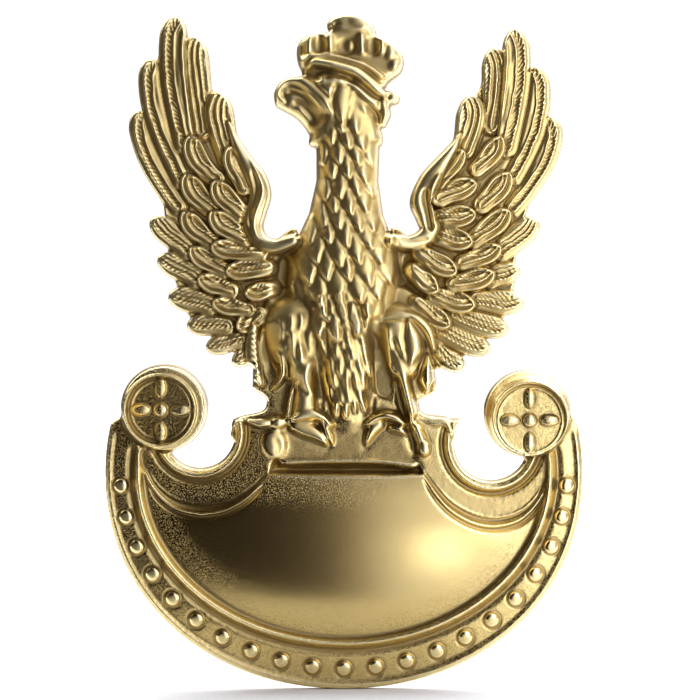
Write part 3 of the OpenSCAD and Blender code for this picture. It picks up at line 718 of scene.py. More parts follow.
def head():
    """Head turned to the viewer's left: skull, hooked beak, the mouth's line, cheek and brow."""
    plate(HEAD, 1.4, 2.3, 2.6)
    boss((-1.2, 27.2), 2.2, 1.9, 0.6)
    groove([(-5.6, 26.6), (-4.7, 26.8), (-3.6, 26.2), (-2.7, 25.2), (-2.2, 24)], 1.9, 0.6)
    stroke([(-5.3, 26.3), (-5.85, 27), (-5.7, 27.75), (-4.8, 28.35), (-3.7, 28.15), (-2.6, 27.3),
            (-1.7, 26.4), (-1.05, 25.2)],
           [0.5, 0.8, 0.9, 1.0, 1.0, 0.95, 0.9, 0.3], [2.1, 2.2, 2.4, 2.6, 3.0, 3.3, 3.5, 3.5], 0.6, 0.12)
    stroke([(-5.25, 27.15), (-4.6, 27.2), (-3.6, 26.8), (-2.9, 26.2), (-2, 25.2)], [0.5, 0.3, 0.35, 0.4, 0.2],
           [2.0, 2.1, 2.4, 2.6, 2.9], 0.35, 0.08)
    boss((-5.2, 27.3), 0.42, 0.42, 0.25)
    rib([(-4.1, 26.1), (-3.6, 25.2), (-3, 24.5)], 0.28, 0.18)
    groove([(-4.6, 26.5), (-3.4, 25.8), (-2.4, 24.7)], 0.5, 0.25)
    stroke([(0, 27.9), (-0.3, 26.6), (-0.3, 25.4), (0, 24.3)], [1.2, 1.5, 1.3, 0.1], 3.7, 0.4, 0.2)
    groove([(-1, 27.3), (-0.95, 26.2), (-0.55, 24.8)], 0.3, 0.25)
    stroke([(-2.2, 28), (-1, 28.1), (0.1, 28)], [0.3, 0.6, 0.5], 4.0, 0.25, 0.2)
    boss((-2.35, 28.6), 0.45, 0.38, -0.4)
    boss((-1.9, 28.5), 0.32, 0.4, 0.4)
    rib([(-1.5, 28.9), (-0.8, 28.55), (0, 28.15)], 0.3, 0.15)


def crown():
    """Crown with its finial, the band round the head and the lappet at its side."""
    plate(CROWN, 2.2, 0.8, 0.8)
    plate(FINIAL, 2.6, 0.6, 1.0)
    for x_top, x_bottom in ((-3, -3.1), (-1.3, -1.2), (1.5, 1.6), (3.4, 3.3)):
        rib([(x_top, 32.5), (mix(x_top, x_bottom, 0.5), 31.6), (x_bottom, 30.4)], 0.62, 0.42)
    for x, z, rx, rz in CROWN_HOLLOWS:
        boss((x, z), rx, rz, -0.34, power=0.22)
    boss((0.5, 31.3), 0.35, 0.5, 0.28)
    boss((4.2, 30.9), 0.5, 0.9, 0.3, angle=-20)
    boss((4.5, 29.5), 0.5, 0.5, 0.3)
    rib([(-0.9, 33.0), (0.3, 32.7), (1.3, 32.75), (2.2, 33.1)], 0.35, 0.2)
    boss((-0.7, 33.2), 0.35, 0.28, -0.25)
    boss((1.4, 33.45), 0.9, 0.45, 0.15)
    stroke([(-3.7, 29.9), (-2.9, 30.35), (-1.4, 30.4), (0, 30.15), (1.3, 29.75), (2.3, 29.3), (3.4, 28.5)],
           [0.3, 0.4, 0.45, 0.45, 0.45, 0.45, 0.3], 3.3, 0.3, 0.1)
    stroke([(-3, 29.45), (-2.6, 29.8), (-1, 29.55), (1, 28.95), (2.3, 28), (3.2, 27.2), (4.4, 26.9)],
           [0.4, 0.75, 0.9, 0.95, 1, 0.95, 0.9], [3.2, 3.4, 3.6, 3.6, 3.4, 3.1, 2.7], 0.6, 0.12, bounds=True)
    plate(LAPPET, 2.5)
    boss((4.35, 26.75), 0.62, 0.55, 0.5, level=2.7, bounds=True)
    groove([(-2.5, 29), (-1, 28.95), (0.2, 28.4), (1.4, 27.5), (2.6, 26.7)], 0.3, 0.22)
    stroke([(0.1, 28.1), (1.1, 27.5), (2.2, 26.55), (3.2, 25.9), (3.5, 25.2)], [0.2, 0.6, 0.8, 1.0, 0.9],
           [3.8, 3.6, 3.3, 3.0, 2.7], 0.5, 0.1, bounds=True)
    stroke([(3.5, 26.2), (3.65, 25.4), (3.45, 24.5)], [0.9, 1.1, 0.7],
           [2.8, 2.7, 2.4], 0.5, 0.08, bounds=True)


# ---------- shield

SHIELD = np.array([0, -6.5])  # middle of the shield's ovals, whose half axes follow
SHIELD_R = np.array([21.22, 19.13])
SHIELD_POWER = 2.08
RIDGE_R = np.array([18.15, 14.9])
BEAD_R = np.array([19.8, 17.3])
BEAD_SPAN = math.radians(173)
BEADS = 21
SHOULDER = -1.6  # top of the oval part
CREST = -6.4  # top of the domed field
VOLUTES = [(-15.95, -0.7), (16.3, -1.2)]
VOLUTE_R = 3.88
# x, z and radius of the volutes' sunk discs, and of the round notches beside the volutes
DISCS = [(-16.25, -0.85, 3.0), (16.45, -1.75, 3.25)]
NOTCHES = [(-12.8, -2.9, 3.1), (13.1, -3.8, 3.3)]
CRESCENT_ARCS = [
    [(-18, -5.4), (-17.5, -6.6), (-16.5, -8.2), (-15, -9.35), (-13, -9.85), (-11, -9.7), (-9.5, -9.1),
     (-8, -8), (-6.6, -6.4)],
    [(18, -6.6), (17.6, -8), (16.9, -9.3), (15.5, -10.5), (13.5, -11), (11.5, -10.7), (9.5, -9.6), (8, -8),
     (6.8, -6.1)],
]
CRESCENT_TOP = [(5.6, -3.4), (6.4, -1.6), (10, -1.4), (14, -4), (17.6, -4.2)]
LEDGE = [
    (-5.5, -1.8), (-5.9, -3.5), (-5.6, -5.7), (-3, -5.75), (0, -5.7), (3, -5.75), (6.3, -5.95), (6, -3.5),
    (5.4, -1.8), (2, -1.7), (-2, -1.7),
]


def oval(centre, radii, power=2.0):
    """Distance from an oval, negative inside."""
    f = (np.abs(X - centre[0]) / radii[0]) ** power + (np.abs(Z - centre[1]) / radii[1]) ** power
    return true_distance((f ** (1 / power) - 1) * min(radii))


def disc(centre, radius):
    """Distance from a circle, negative inside."""
    return np.hypot(X - centre[0], Z - centre[1]) - radius


def over(top, edge, soft=SOFT):
    """lay() on the whole grid."""
    lay(np.s_[:, :], top, edge, soft)


def shield():
    """Outline and ground of the shield, its raised rim, its domed field and all that lies on it."""
    lower = larger(oval(SHIELD, SHIELD_R, SHIELD_POWER), Z - SHOULDER, 0.9)
    for x, z, r in NOTCHES:
        lower = larger(lower, -disc((x, z), r), 0.4)
    volutes = [disc(c, VOLUTE_R) for c in VOLUTES]
    whole = smaller(lower, smaller(volutes[0], volutes[1], 0.1), 0.5)
    outline[:] = smaller(outline, whole, BLEND)

    d = -whole
    ridge = -oval(SHIELD, RIDGE_R)
    floor = 1.9 - 0.22 * np.clip(-ridge, 0, 3.2) + unevenness(X, Z, 0.015)
    over(floor, whole)
    rim_only = ramp(-0.6, 0.6, -ridge) * ramp(-2.2, -3.6, Z)
    height[:] += 0.2 * bell(d, 0.42, 0.24) * rim_only * (whole < 0)

    # the domed field inside the ridge, burnished, and a little lower along its top
    dome_r = RIDGE_R - 0.4
    q = np.clip(1 - (X / dome_r[0]) ** 2 - ((Z - SHIELD[1]) / dome_r[1]) ** 2, 0, 1)
    field = 1.7 + 2.6 * q * (1 - 0.4 * np.exp(-np.clip(CREST - Z, 0, 20) / 1.4))
    domed = larger(-ridge + 0.25, Z - CREST, 0.3)
    over(field, domed, 0.15)
    grain[:] = mix(grain, 0.07, ramp(0.2, -3.5, domed))
    below_volutes = ramp(-3.4, -4.8, Z) * (whole < -0.1)
    height[:] += (0.6 * bell(ridge, -0.05, 0.36) - 0.25 * bell(ridge, -0.8, 0.32)) * below_volutes

    crescents(whole)
    notch_lips(whole)
    beads()
    plinth()


def crescents(whole):
    """The two horns of the shield above the dome, each bounded by a double line."""
    for side, arc in zip((-1, 1), CRESCENT_ARCS):
        loop = Line(arc + [(side * x, z) for x, z in CRESCENT_TOP], closed=True)
        part = window(loop.points, 0.4)
        d = np.maximum(inside_distance(loop, part), whole[part] + 0.1)
        slope = 2.3 - 0.11 * (np.abs(X[part]) - 12)
        lay(part, slope + unevenness(X[part], Z[part], 0.02, 4.7), d, 0.1)
        shift = np.array([0, 0.42])
        groove([np.array(p) - shift for p in arc[1:]], 0.5, 0.3)
        rib(arc, 0.42, 0.3)
        groove([np.array(p) + shift for p in arc[1:]], 0.2, 0.07)
        rib([np.array(p) + 1.7 * shift for p in arc[1:-1]], 0.2, 0.08)


def notch_lips(whole):
    """A raised lip round each side notch, with a groove behind it."""
    here = (Z < 0) & (whole < 0)
    for x, z, r in NOTCHES:
        d = disc((x, z), r)
        height[:] += 0.35 * bell(d, 0.62, 0.28) * here
        height[:] -= 0.3 * bell(d, 1.15, 0.25) * here


def beads():
    """A row of beads, evenly spaced along the lower border."""
    angles = np.linspace(-math.pi / 2 - BEAD_SPAN / 2, -math.pi / 2 + BEAD_SPAN / 2, 721)
    ring = SHIELD + BEAD_R * np.stack([np.cos(angles), np.sin(angles)], axis=1)
    steps = np.hypot(*np.diff(ring, axis=0).T)
    along = np.concatenate([[0], np.cumsum(steps)])
    for place in np.linspace(0, along[-1], BEADS):
        centre = [np.interp(place, along, ring[:, k]) for k in (0, 1)]
        part = window([centre], 1.3)
        r = np.hypot(X[part] - centre[0], Z[part] - centre[1])
        height[part] -= 0.06 * bell(r, 0.8, 0.12)
        grain[part] = mix(grain[part], 0, ramp(0.8, 0.65, r))
        height[part] += 0.45 * np.clip(1 - (r / 0.72) ** 2.6, 0, 1) ** 0.6


def plinth():
    """The rough ledge that the eagle stands on, with its bright lip."""
    plate(LEDGE, 2.7)
    part = window([(-5.5, -5.4), (6.2, -2)], 0.1)
    lumps = noise(X[part] * 4.3, Z[part] * 4.3) + 0.6 * noise(X[part] * 9.1, Z[part] * 9.1) - 0.8
    height[part] += 0.05 * lumps * ramp(-5.3, -4.9, Z[part])
    stroke([(-5.4, -5.45), (-3, -5.4), (0, -5.35), (3, -5.4), (6.3, -5.7)], 0.5, 2.85, 0.25, 0.08)
    groove([(-6.4, -6.05), (-3, -6.1), (0, -6.1), (3.5, -6.15), (6.6, -6.3)], [0.3, 0.6, 0.6, 0.6, 0.3], 0.5)
    rib([(-1.2, -2.1), (0.4, -2.05), (1.9, -2.1)], 0.3, 0.3)
    groove([(-1.2, -2.45), (0.4, -2.45), (1.9, -2.45)], 0.3, 0.3)


def volutes():
    """A coiled horn's end: a sloped wall round a sunk disc that holds a flower of four petals."""
    for side, c, centre in zip((-1, 1), VOLUTES, DISCS):
        part = window([c], VOLUTE_R + 0.4)
        x, z = X[part], Z[part]
        outer = np.hypot(x - c[0], z - c[1]) - VOLUTE_R
        inner = np.hypot(x - centre[0], z - centre[1]) - centre[2]
        slope_width = 0.3 if side < 0 else 0.95
        lay(part, mix(1.5, 2.65, ramp(0, slope_width, -outer)), outer)
        tilt = -side * 0.12 * (x - centre[0])
        lay(part, 2.15 + tilt + unevenness(x, z, 0.02), inner, 0.12)
        height[part] += 0.3 * bell(inner, 0.08, 0.16) * (outer < -0.2)
        height[part] += 0.1 * bell(inner, -0.38, 0.09)
        for k in range(4):
            a = k * math.pi / 2
            petal = (centre[0] + 1.75 * math.cos(a), centre[1] + 1.95 * math.sin(a))
            boss(petal, 1.05, 0.62, -0.1, angle=math.degrees(a))
            boss(petal, 0.95, 0.58, 0.5, angle=math.degrees(a), power=0.6)
        boss(centre[:2], 0.66, 0.66, 0.5)


# ---------- the painted relief, with its edges and its hollow


def box_blur(a, radius):
    """Average over a square, taken three times to make it round."""
    n = max(1, int(round(radius / STEP)))
    size = 2 * n + 1
    for _ in range(6):  # each pass averages down the columns, then swaps rows and columns
        total = np.cumsum(np.pad(a, [(n + 1, n), (0, 0)], mode="edge"), axis=0)
        a = ((total[size:] - total[:-size]) / size).T
    return a


def sample(field, x, z):
    """Values of a field at any points, which may lie between the grid's."""
    u = (x - grid_x[0]) / STEP
    v = (z - grid_z[0]) / STEP
    i = np.clip(np.floor(u).astype(int), 0, len(grid_x) - 2)
    j = np.clip(np.floor(v).astype(int), 0, len(grid_z) - 2)
    u, v = u - i, v - j
    return mix(mix(field[j, i], field[j, i + 1], u), mix(field[j + 1, i], field[j + 1, i + 1], u), v)


def spread_distance():
    """Exact distance from the outline near it, found by passing on the nearest point of the outline."""
    gz, gx = np.gradient(outline, STEP)
    size = np.maximum(gx**2 + gz**2, 0.05)
    near = np.abs(outline) < 1.6 * STEP
    foot_x = np.where(near, X - outline * gx / size, 1e3)
    foot_z = np.where(near, Z - outline * gz / size, 1e3)
    best = np.hypot(X - foot_x, Z - foot_z)
    for jump in (16, 8, 4, 2, 1, 1):
        for dj in (-jump, 0, jump):
            for di in (-jump, 0, jump):
                fx = np.roll(foot_x, (dj, di), (0, 1))
                fz = np.roll(foot_z, (dj, di), (0, 1))
                d = np.hypot(X - fx, Z - fz)
                nearer = d < best
                best[nearer] = d[nearer]
                foot_x[nearer] = fx[nearer]
                foot_z[nearer] = fz[nearer]
    return np.where(outline < 0, -1, 1) * np.minimum(best, FAR)


def paint():
    """Everything on the front, from the ground up."""
    shield()
    volutes()
    wing(LEFT_PRIMARIES, LEFT_SECONDARIES, LEFT_COVERTS, LEFT_LESSER_COVERTS, LEFT_WEB, 1, 1)
    wing(RIGHT_PRIMARIES, RIGHT_SECONDARIES, RIGHT_COVERTS, RIGHT_LESSER_COVERTS, RIGHT_WEB, -1, 51)
    arms()
    plate(APRON, 1.9, 0.3, 0.6)
    body()
    tail()
    left_leg()
    right_leg()
    feet()
    head()
    crown()


paint()
above_shield = ramp(2.2, 3.4, Z)
eagle = ramp(-5.9, -5.5, Z) * ramp(9.5, 8, np.abs(X)) * ramp(2.8, 3.2, height) + above_shield
grain = mix(grain, 0, np.clip(eagle, 0, 1))

# The eagle's body is softened, its wings a fifth as much, and its head and legs once more
near_body = ramp(7.8, 6.6, np.abs(X - NECK_MIDDLE))
struck = np.maximum(near_body * ramp(-6.2, -5.6, Z), 0.2 * above_shield)
height = mix(height, box_blur(height, STEP), struck)
worn_smooth = (0.3 * ramp(22.5, 24.5, Z) + 0.5 * ramp(7.5, 5.5, Z)) * near_body * struck
height = mix(height, box_blur(height, 2 * STEP), worn_smooth)

STUD_PAD = -STUD_LOW[1]  # height of the flat seat under the stud's flange
STUD_PAD_R = 5.3
PRONG_PAD_R = 2.0
COVER = 0.5  # least metal over the stud's seat
THINNEST = 0.4
FLAT_RIM = 1.0  # width of the flat rim behind
TINY = 0.02  # that the looks keep inside the CAD's box

distance = spread_distance()
shoulder = EDGE + 0.45 * rounded(-distance, 0.2) + 6 * np.clip(-distance - 0.04, 0, FAR)
front = smaller(height, shoulder, 0.3)
stud_distance = np.hypot(X, Z)
over_stud = ramp(STUD_PAD_R + 1.6, STUD_PAD_R, stud_distance) * (distance < -1)
front = larger(front, mix(EDGE, STUD_PAD + COVER, over_stud), 0.05)
front = np.clip(front, EDGE * 0.9, -SHELL_LOW[1] - TINY)

soft_front = box_blur(np.where(distance < 0, front, RIM), 0.35)
hollow = np.minimum(soft_front - SHEET, front - 0.45)
hollow = np.maximum(hollow, 0.75) * ramp(FLAT_RIM, FLAT_RIM + 0.75, -distance)
hollow = mix(STUD_PAD, hollow, ramp(STUD_PAD_R, STUD_PAD_R + 0.7, stud_distance))
for prong in ("left_prong", "right_prong"):
    low, high = node_box(prong)
    away = disc(middle_of(low, high), PRONG_PAD_R)
    hollow = mix(-low[1], hollow, ramp(0, 0.6, away))
hollow = np.minimum(hollow, np.maximum(front - THINNEST, 0))


# ---------- mesh of the shell


def new_mesh(name, points, faces):
    """A smooth mesh from points in mm."""
    mesh = bpy.data.meshes.new(name)
    mesh.from_pydata((np.asarray(points) * MM).tolist(), [], faces)
    mesh.update()
    mesh.polygons.foreach_set("use_smooth", [True] * len(mesh.polygons))
    return mesh


def solid_cells():
    """Cells of the grid inside the outline, with no two that meet only at a corner."""
    centre = (distance[:-1, :-1] + distance[1:, :-1] + distance[:-1, 1:] + distance[1:, 1:]) / 4
    cells = centre < 0
    for _ in range(4):
        a, b = cells[:-1, :-1], cells[:-1, 1:]
        c, d = cells[1:, :-1], cells[1:, 1:]
        rising = a & d & ~b & ~c
        falling = b & c & ~a & ~d
        cells[:-1, 1:] |= rising
        cells[:-1, :-1] |= falling
    return cells


def leaves_of(field, cells, tolerance):
    """Merges level cells into squares of 2, 4 and 8. Returns (size, rows, columns) for each size."""
    rows, columns = cells.shape
    rows8, columns8 = rows // 8 * 8, columns // 8 * 8
    calm = cells & (distance[:-1, :-1] < -3.5 * STEP)
    whole = {1: calm[:rows8, :columns8]}
    for size in (2, 4, 8):
        half = whole[size // 2]
        ok = half[0::2, 0::2] & half[1::2, 0::2] & half[0::2, 1::2] & half[1::2, 1::2]

        def values(r, c):
            """The field at one point of every square."""
            return field[r : r + rows8 : size, c : c + columns8 : size]

        for r in range(size + 1):
            for c in range(size + 1):
                near_edge = mix(values(0, 0), values(0, size), c / size)
                far_edge = mix(values(size, 0), values(size, size), c / size)
                ok &= np.abs(values(r, c) - mix(near_edge, far_edge, r / size)) < tolerance
        whole[size] = ok
    taken = np.zeros(cells.shape, bool)
    leaves = []
    for size in (8, 4, 2, 1):
        if size == 1:
            free = cells & ~taken
        else:
            free = whole[size] & ~taken[:rows8:size, :columns8:size]
        r, c = np.nonzero(free)
        if size > 1:
            for dr in range(size):
                for dc in range(size):
                    taken[r * size + dr, c * size + dc] = True
        leaves.append((size, r * size, c * size))
    return leaves


def faces_of(leaves):
    """Polygons of grid points, each with every point of its neighbours that lies on its sides."""
    used = np.zeros(X.shape, bool)
    for size, r, c in leaves:
        for dr in (0, size):
            for dc in (0, size):
                used[r + dr, c + dc] = True
    width = X.shape[1]
    faces = []
    for size, r, c in leaves:
        if size == 1:
            first = r * width + c
            faces += np.stack([first, first + 1, first + width + 1, first + width], axis=1).tolist()
            continue
        side = [(0, k) for k in range(size)] + [(k, size) for k in range(size)]
        side += [(size, size - k) for k in range(size)] + [(size - k, 0) for k in range(size)]
        for r0, c0 in zip(r.tolist(), c.tolist()):
            faces.append([(r0 + dr) * width + c0 + dc for dr, dc in side if used[r0 + dr, c0 + dc]])
    return faces, used


def settled_points(cells):
    """Grid points with the border ones drawn onto the outline and their neighbours eased after them."""
    inside = np.zeros(X.shape, int)
    for dr in (0, 1):
        for dc in (0, 1):
            inside[dr : dr + cells.shape[0], dc : dc + cells.shape[1]] += cells
    border = (inside > 0) & (inside < 4)
    x, z = X.copy(), Z.copy()
    gz, gx = np.gradient(distance, STEP)
    for _ in range(3):
        bx, bz = x[border], z[border]
        d, dx, dz = sample(distance, bx, bz), sample(gx, bx, bz), sample(gz, bx, bz)
        size = np.maximum(dx**2 + dz**2, 0.2)
        x[border] = np.clip(bx - d * dx / size, X[border] - 0.8 * STEP, X[border] + 0.8 * STEP)
        z[border] = np.clip(bz - d * dz / size, Z[border] - 0.8 * STEP, Z[border] + 0.8 * STEP)
    move = np.stack([x - X, z - Z])
    inner = (inside == 4) & (distance > -3 * STEP)
    for _ in range(3):
        above_below = np.roll(move, 1, 1) + np.roll(move, -1, 1)
        average = (above_below + np.roll(move, 1, 2) + np.roll(move, -1, 2)) / 4
        move[:, inner] = average[:, inner]
    return X + move[0], Z + move[1], border


def shell_mesh():
    """The shell as one closed mesh: front, hollow back and the thin wall between them.

    It carries three fields for the metal: small crests, broad lift, and grain. The gilt turns crests and lift
    into rubbed wear and patina, and also into a painted highlight and painted shade.
    """
    cells = solid_cells()
    px, pz, border = settled_points(cells)
    px = np.clip(px, SHELL_LOW[0] + TINY / 2, SHELL_HIGH[0] - TINY / 2)
    pz = np.clip(pz, SHELL_LOW[2] + TINY / 2, SHELL_HIGH[2] - TINY / 2)
    front_faces, front_used = faces_of(leaves_of(front, cells, 0.004))
    back_faces, back_used = faces_of(leaves_of(hollow, cells, 0.008))
    front_index = np.cumsum(front_used.ravel()) - 1
    back_index = np.cumsum(back_used.ravel()) - 1 + front_used.sum()

    front_height = np.where(border, EDGE, sample(front, px, pz))
    back_height = np.where(border, 0, sample(hollow, px, pz))
    points = np.vstack([
        np.stack([px[front_used], -front_height[front_used], pz[front_used]], axis=1),
        np.stack([px[back_used], -back_height[back_used], pz[back_used]], axis=1),
    ])
    front_faces = [[front_index[k] for k in f] for f in front_faces]
    back_faces = [[back_index[k] for k in reversed(f)] for f in back_faces]

    width = X.shape[1]
    edges = []
    padded = np.pad(cells, 1)
    middle = padded[1:-1, 1:-1]
    for neighbour, start, end in (
        (padded[:-2, 1:-1], (0, 0), (0, 1)),
        (padded[1:-1, 2:], (0, 1), (1, 1)),
        (padded[2:, 1:-1], (1, 1), (1, 0)),
        (padded[1:-1, :-2], (1, 0), (0, 0)),
    ):
        r, c = np.nonzero(middle & ~neighbour)
        edges.append([(r + dr) * width + c + dc for dr, dc in (start, end)])
    a, b = np.hstack(edges)
    wall = np.stack([front_index[b], front_index[a], back_index[a], back_index[b]], axis=1).tolist()

    mesh = new_mesh("shell", points, front_faces + back_faces + wall)
    rims = set()
    for index in (front_index, back_index):
        rims.update(tuple(sorted(pair)) for pair in zip(index[a].tolist(), index[b].tolist()))
    sharp = [tuple(sorted(e.vertices)) in rims for e in mesh.edges]
    mesh.attributes.new("sharp_edge", "BOOLEAN", "EDGE").data.foreach_set("value", sharp)

    relief = np.clip(front - box_blur(front, 0.2), -0.09, 0.12)
    broad = np.clip(front - box_blur(front, 0.8), -0.4, 0.4)
    soft_grain = box_blur(grain, 0.2)
    # Behind, the lift of -0.25 makes the gilt colour the back a little darker, as in the front's recesses.
    for name, field, behind in (("crest", relief, 0), ("lift", broad, -0.25), ("grain", soft_grain, 0.3)):
        values = np.concatenate([sample(field, px, pz)[front_used], np.full(back_used.sum(), behind)])
        mesh.attributes.new(name, "FLOAT", "POINT").data.foreach_set("value", values)
    return mesh


# ---------- materials


class Nodes:
    """A material's nodes, with short ways to make and join them."""

    def __init__(self, name):
        self.material = bpy.data.materials.new(name)
        self.material.use_nodes = True
        self.tree = self.material.node_tree
        self.shader = self.tree.nodes["Principled BSDF"]

    def add(self, kind, **settings):
        node = self.tree.nodes.new(kind)
        for key, value in settings.items():
            setattr(node, key, value)
        return node

    def join(self, a, b):
        self.tree.links.new(a, b)

    def feed(self, socket, value):
        if isinstance(value, bpy.types.NodeSocket):
            self.join(value, socket)
        else:
            socket.default_value = value

    def math(self, operation, a, b):
        node = self.add("ShaderNodeMath", operation=operation)
        self.feed(node.inputs[0], a)
        self.feed(node.inputs[1], b)
        return node.outputs[0]

    def plus(self, a, b):
        return self.math("ADD", a, b)

    def minus(self, a, b):
        return self.math("SUBTRACT", a, b)

    def times(self, a, b):
        return self.math("MULTIPLY", a, b)

    def attribute(self, name):
        """A field that the mesh carries."""
        return self.add("ShaderNodeAttribute", attribute_name=name).outputs["Fac"]

    def spread(self, value, low, high, to_low=0.0, to_high=1.0):
        """Maps low..high smoothly to to_low..to_high, and holds the ends."""
        node = self.add("ShaderNodeMapRange", interpolation_type="SMOOTHSTEP")
        for k, v in enumerate((value, low, high, to_low, to_high)):
            self.feed(node.inputs[k], v)
        return node.outputs[0]

    def position(self, scale=(1, 1, 1)):
        place = self.add("ShaderNodeTexCoord").outputs["Object"]
        mapping = self.add("ShaderNodeMapping")
        mapping.inputs["Scale"].default_value = scale
        self.join(place, mapping.inputs["Vector"])
        return mapping.outputs[0]

    def noise(self, per_mm, detail=3.0, roughness=0.55, at=None):
        node = self.add("ShaderNodeTexNoise")
        self.join(at or self.position(), node.inputs["Vector"])
        node.inputs["Scale"].default_value = per_mm / MM
        node.inputs["Detail"].default_value = detail
        node.inputs["Roughness"].default_value = roughness
        return node.outputs["Fac"]

    def colour(self, factor, a, b):
        node = self.add("ShaderNodeMix", data_type="RGBA")
        self.feed(node.inputs["Factor"], factor)
        self.feed(node.inputs["A"], a)
        self.feed(node.inputs["B"], b)
        return node.outputs["Result"]

    def bump(self, value, millimetres, normal=None):
        node = self.add("ShaderNodeBump")
        node.inputs["Distance"].default_value = millimetres * MM
        self.join(value, node.inputs["Height"])
        if normal:
            self.join(normal, node.inputs["Normal"])
        return node.outputs[0]

    def finish(self, colour, roughness, normal, metallic=1.0):
        self.feed(self.shader.inputs["Base Color"], colour)
        self.feed(self.shader.inputs["Roughness"], roughness)
        self.feed(self.shader.inputs["Metallic"], metallic)
        self.join(normal, self.shader.inputs["Normal"])
        return self.material


def rgba(r, g, b):
    return (r, g, b, 1)


def antique_gilt():
    """Worn gilt: paler on what stands proud, partly rubbed wear and partly a painted highlight, and brown in
    the recesses, partly patina and partly painted shade, with a fine pitted grain.
    """
    n = Nodes("antique_gilt")
    crest = n.attribute("crest")
    lift = n.attribute("lift")
    patches = n.noise(0.3, 4)
    specks = n.noise(5.5, 4, 0.75)
    rough_cast = n.attribute("grain")
    # Height above the surroundings: it darkens the colour in recesses, as patina and as painted shade, and
    # pales it on what stands proud, as rubbed wear and as a painted highlight.
    wear_and_painted_light = n.plus(n.times(crest, 7.0), n.times(lift, 0.9))
    wear_and_painted_light = n.plus(wear_and_painted_light, n.times(n.minus(specks, 0.5), 0.5))
    recess = n.spread(wear_and_painted_light, 0.0, -0.8)
    proud = n.spread(wear_and_painted_light, 0.15, 1.0)
    # The paler gold on proud relief is partly rubbed wear and partly a painted highlight. The dark brown in
    # recesses is partly patina and partly painted shade.
    gold = n.colour(patches, rgba(0.60, 0.44, 0.155), rgba(0.68, 0.52, 0.215))
    bright = n.colour(proud, gold, rgba(0.88, 0.74, 0.38))
    patina_and_painted_shade = n.colour(n.times(recess, 0.5), bright, rgba(0.13, 0.078, 0.03))
    pits = n.spread(n.plus(specks, n.times(patches, 0.25)), 0.5, 0.4)
    pits = n.times(pits, n.spread(rough_cast, 0, 1, 0.2, 0.75))
    pitted = n.colour(pits, patina_and_painted_shade, rgba(0.1, 0.06, 0.025))
    roughness = n.plus(n.spread(rough_cast, 0, 0.07, 0.44, 0.22), n.times(recess, 0.12))
    roughness = n.minus(roughness, n.times(proud, 0.05))
    skin = n.times(specks, n.plus(rough_cast, 0.1))
    glints = n.times(n.spread(n.noise(8.5, 2, 0.6), 0.55, 0.63), rough_cast)
    return n.finish(pitted, roughness, n.bump(glints, 0.018, n.bump(skin, 0.016)))


def turned_brass(name, colour, dull, roughness):
    """Machined brass with rings of tool marks round the stud's axis and a little tarnish."""
    n = Nodes(name)
    rings = n.noise(2.2, 2, 0.5, n.position(scale=(0.12, 1, 0.12)))
    tarnish = n.noise(0.8, 4, 0.6)
    spots = n.noise(5, 3, 0.7)
    tint = n.colour(n.times(n.spread(tarnish, 0.35, 0.7), 0.7), colour, dull)
    rough = n.spread(tarnish, 0.2, 0.8, roughness, roughness + 0.16)
    rough = n.plus(rough, n.times(spots, 0.08))
    return n.finish(tint, rough, n.bump(spots, 0.008, n.bump(rings, 0.02)))


def soft_solder():
    """Dull grey tin solder with a crystalline skin."""
    n = Nodes("solder")
    grains = n.add("ShaderNodeTexVoronoi")
    n.join(n.position(), grains.inputs["Vector"])
    grains.inputs["Scale"].default_value = 3.2 / MM
    cloud = n.noise(2.5, 4)
    tint = n.colour(n.spread(cloud, 0.3, 0.7), rgba(0.42, 0.42, 0.4), rgba(0.62, 0.61, 0.57))
    rough = n.spread(grains.outputs["Distance"], 0, 0.8, 0.38, 0.6)
    return n.finish(tint, rough, n.bump(cloud, 0.05, n.bump(grains.outputs["Distance"], 0.03)))


# ---------- pieces


def show(thing):
    bpy.context.scene.collection.objects.link(thing)


def add_piece(name, mesh, material, body, slot, *nodes):
    """Adds a piece that rides on a body, stands for CAD nodes and takes a material. The slot argument is not
    used.
    """
    piece = bpy.data.objects.new(name, mesh)
    mesh.materials.append(material)
    show(piece)
    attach(piece, body)
    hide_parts(*nodes)


GILT = antique_gilt()
add_piece("struck_shell", shell_mesh(), GILT, BADGE, "antique_gilt", "badge_shell")

# ---------- fasteners, all round the Y axis

PITCH = 0.7
STUD_THREAD_DEPTH = 0.4
NUT_THREAD_DEPTH = 0.3
BEND = 38  # degrees between faces, from which an edge is sharp
KNURLS = 30
KNURL_CUT = 0.6


def turned(name, rings, centre=(0, 0), closed=True, sides=96):
    """A turned solid from (y, radius) rings, where a radius may be a function of the angle and y.

    Closed rings join back to the first one, as round a hole. Open ones end in a flat face on the axis.
    The angle is counted by the right-hand rule about +Y.
    """
    k = np.arange(sides)
    after = (k + 1) % sides
    a = k * 2 * math.pi / sides
    rows = []
    for y, radius in rings:
        r = radius(a, y) if callable(radius) else radius
        rows.append(np.stack([centre[0] + r * np.sin(a), y + 0 * a, centre[1] + r * np.cos(a)], axis=1))
    count = len(rings)
    faces = []
    for i in range(count if closed else count - 1):
        a_row, b_row = i * sides, (i + 1) % count * sides
        faces += np.stack([a_row + k, a_row + after, b_row + after, b_row + k], axis=1).tolist()
    if not closed:
        faces.append(k[::-1].tolist())
        faces.append(((count - 1) * sides + k).tolist())
    return solid(name, np.vstack(rows), faces)


def steps(y, radius, *offsets):
    """Rings of a turned solid, given as offsets in y and in radius from one place."""
    return [(y + dy, radius + dr) for dy, dr in offsets]


def solid(name, points, faces):
    """A mesh that is smooth except at its sharp edges."""
    mesh = new_mesh(name, points, faces)
    mesh.set_sharp_from_angle(angle=math.radians(BEND))
    return mesh


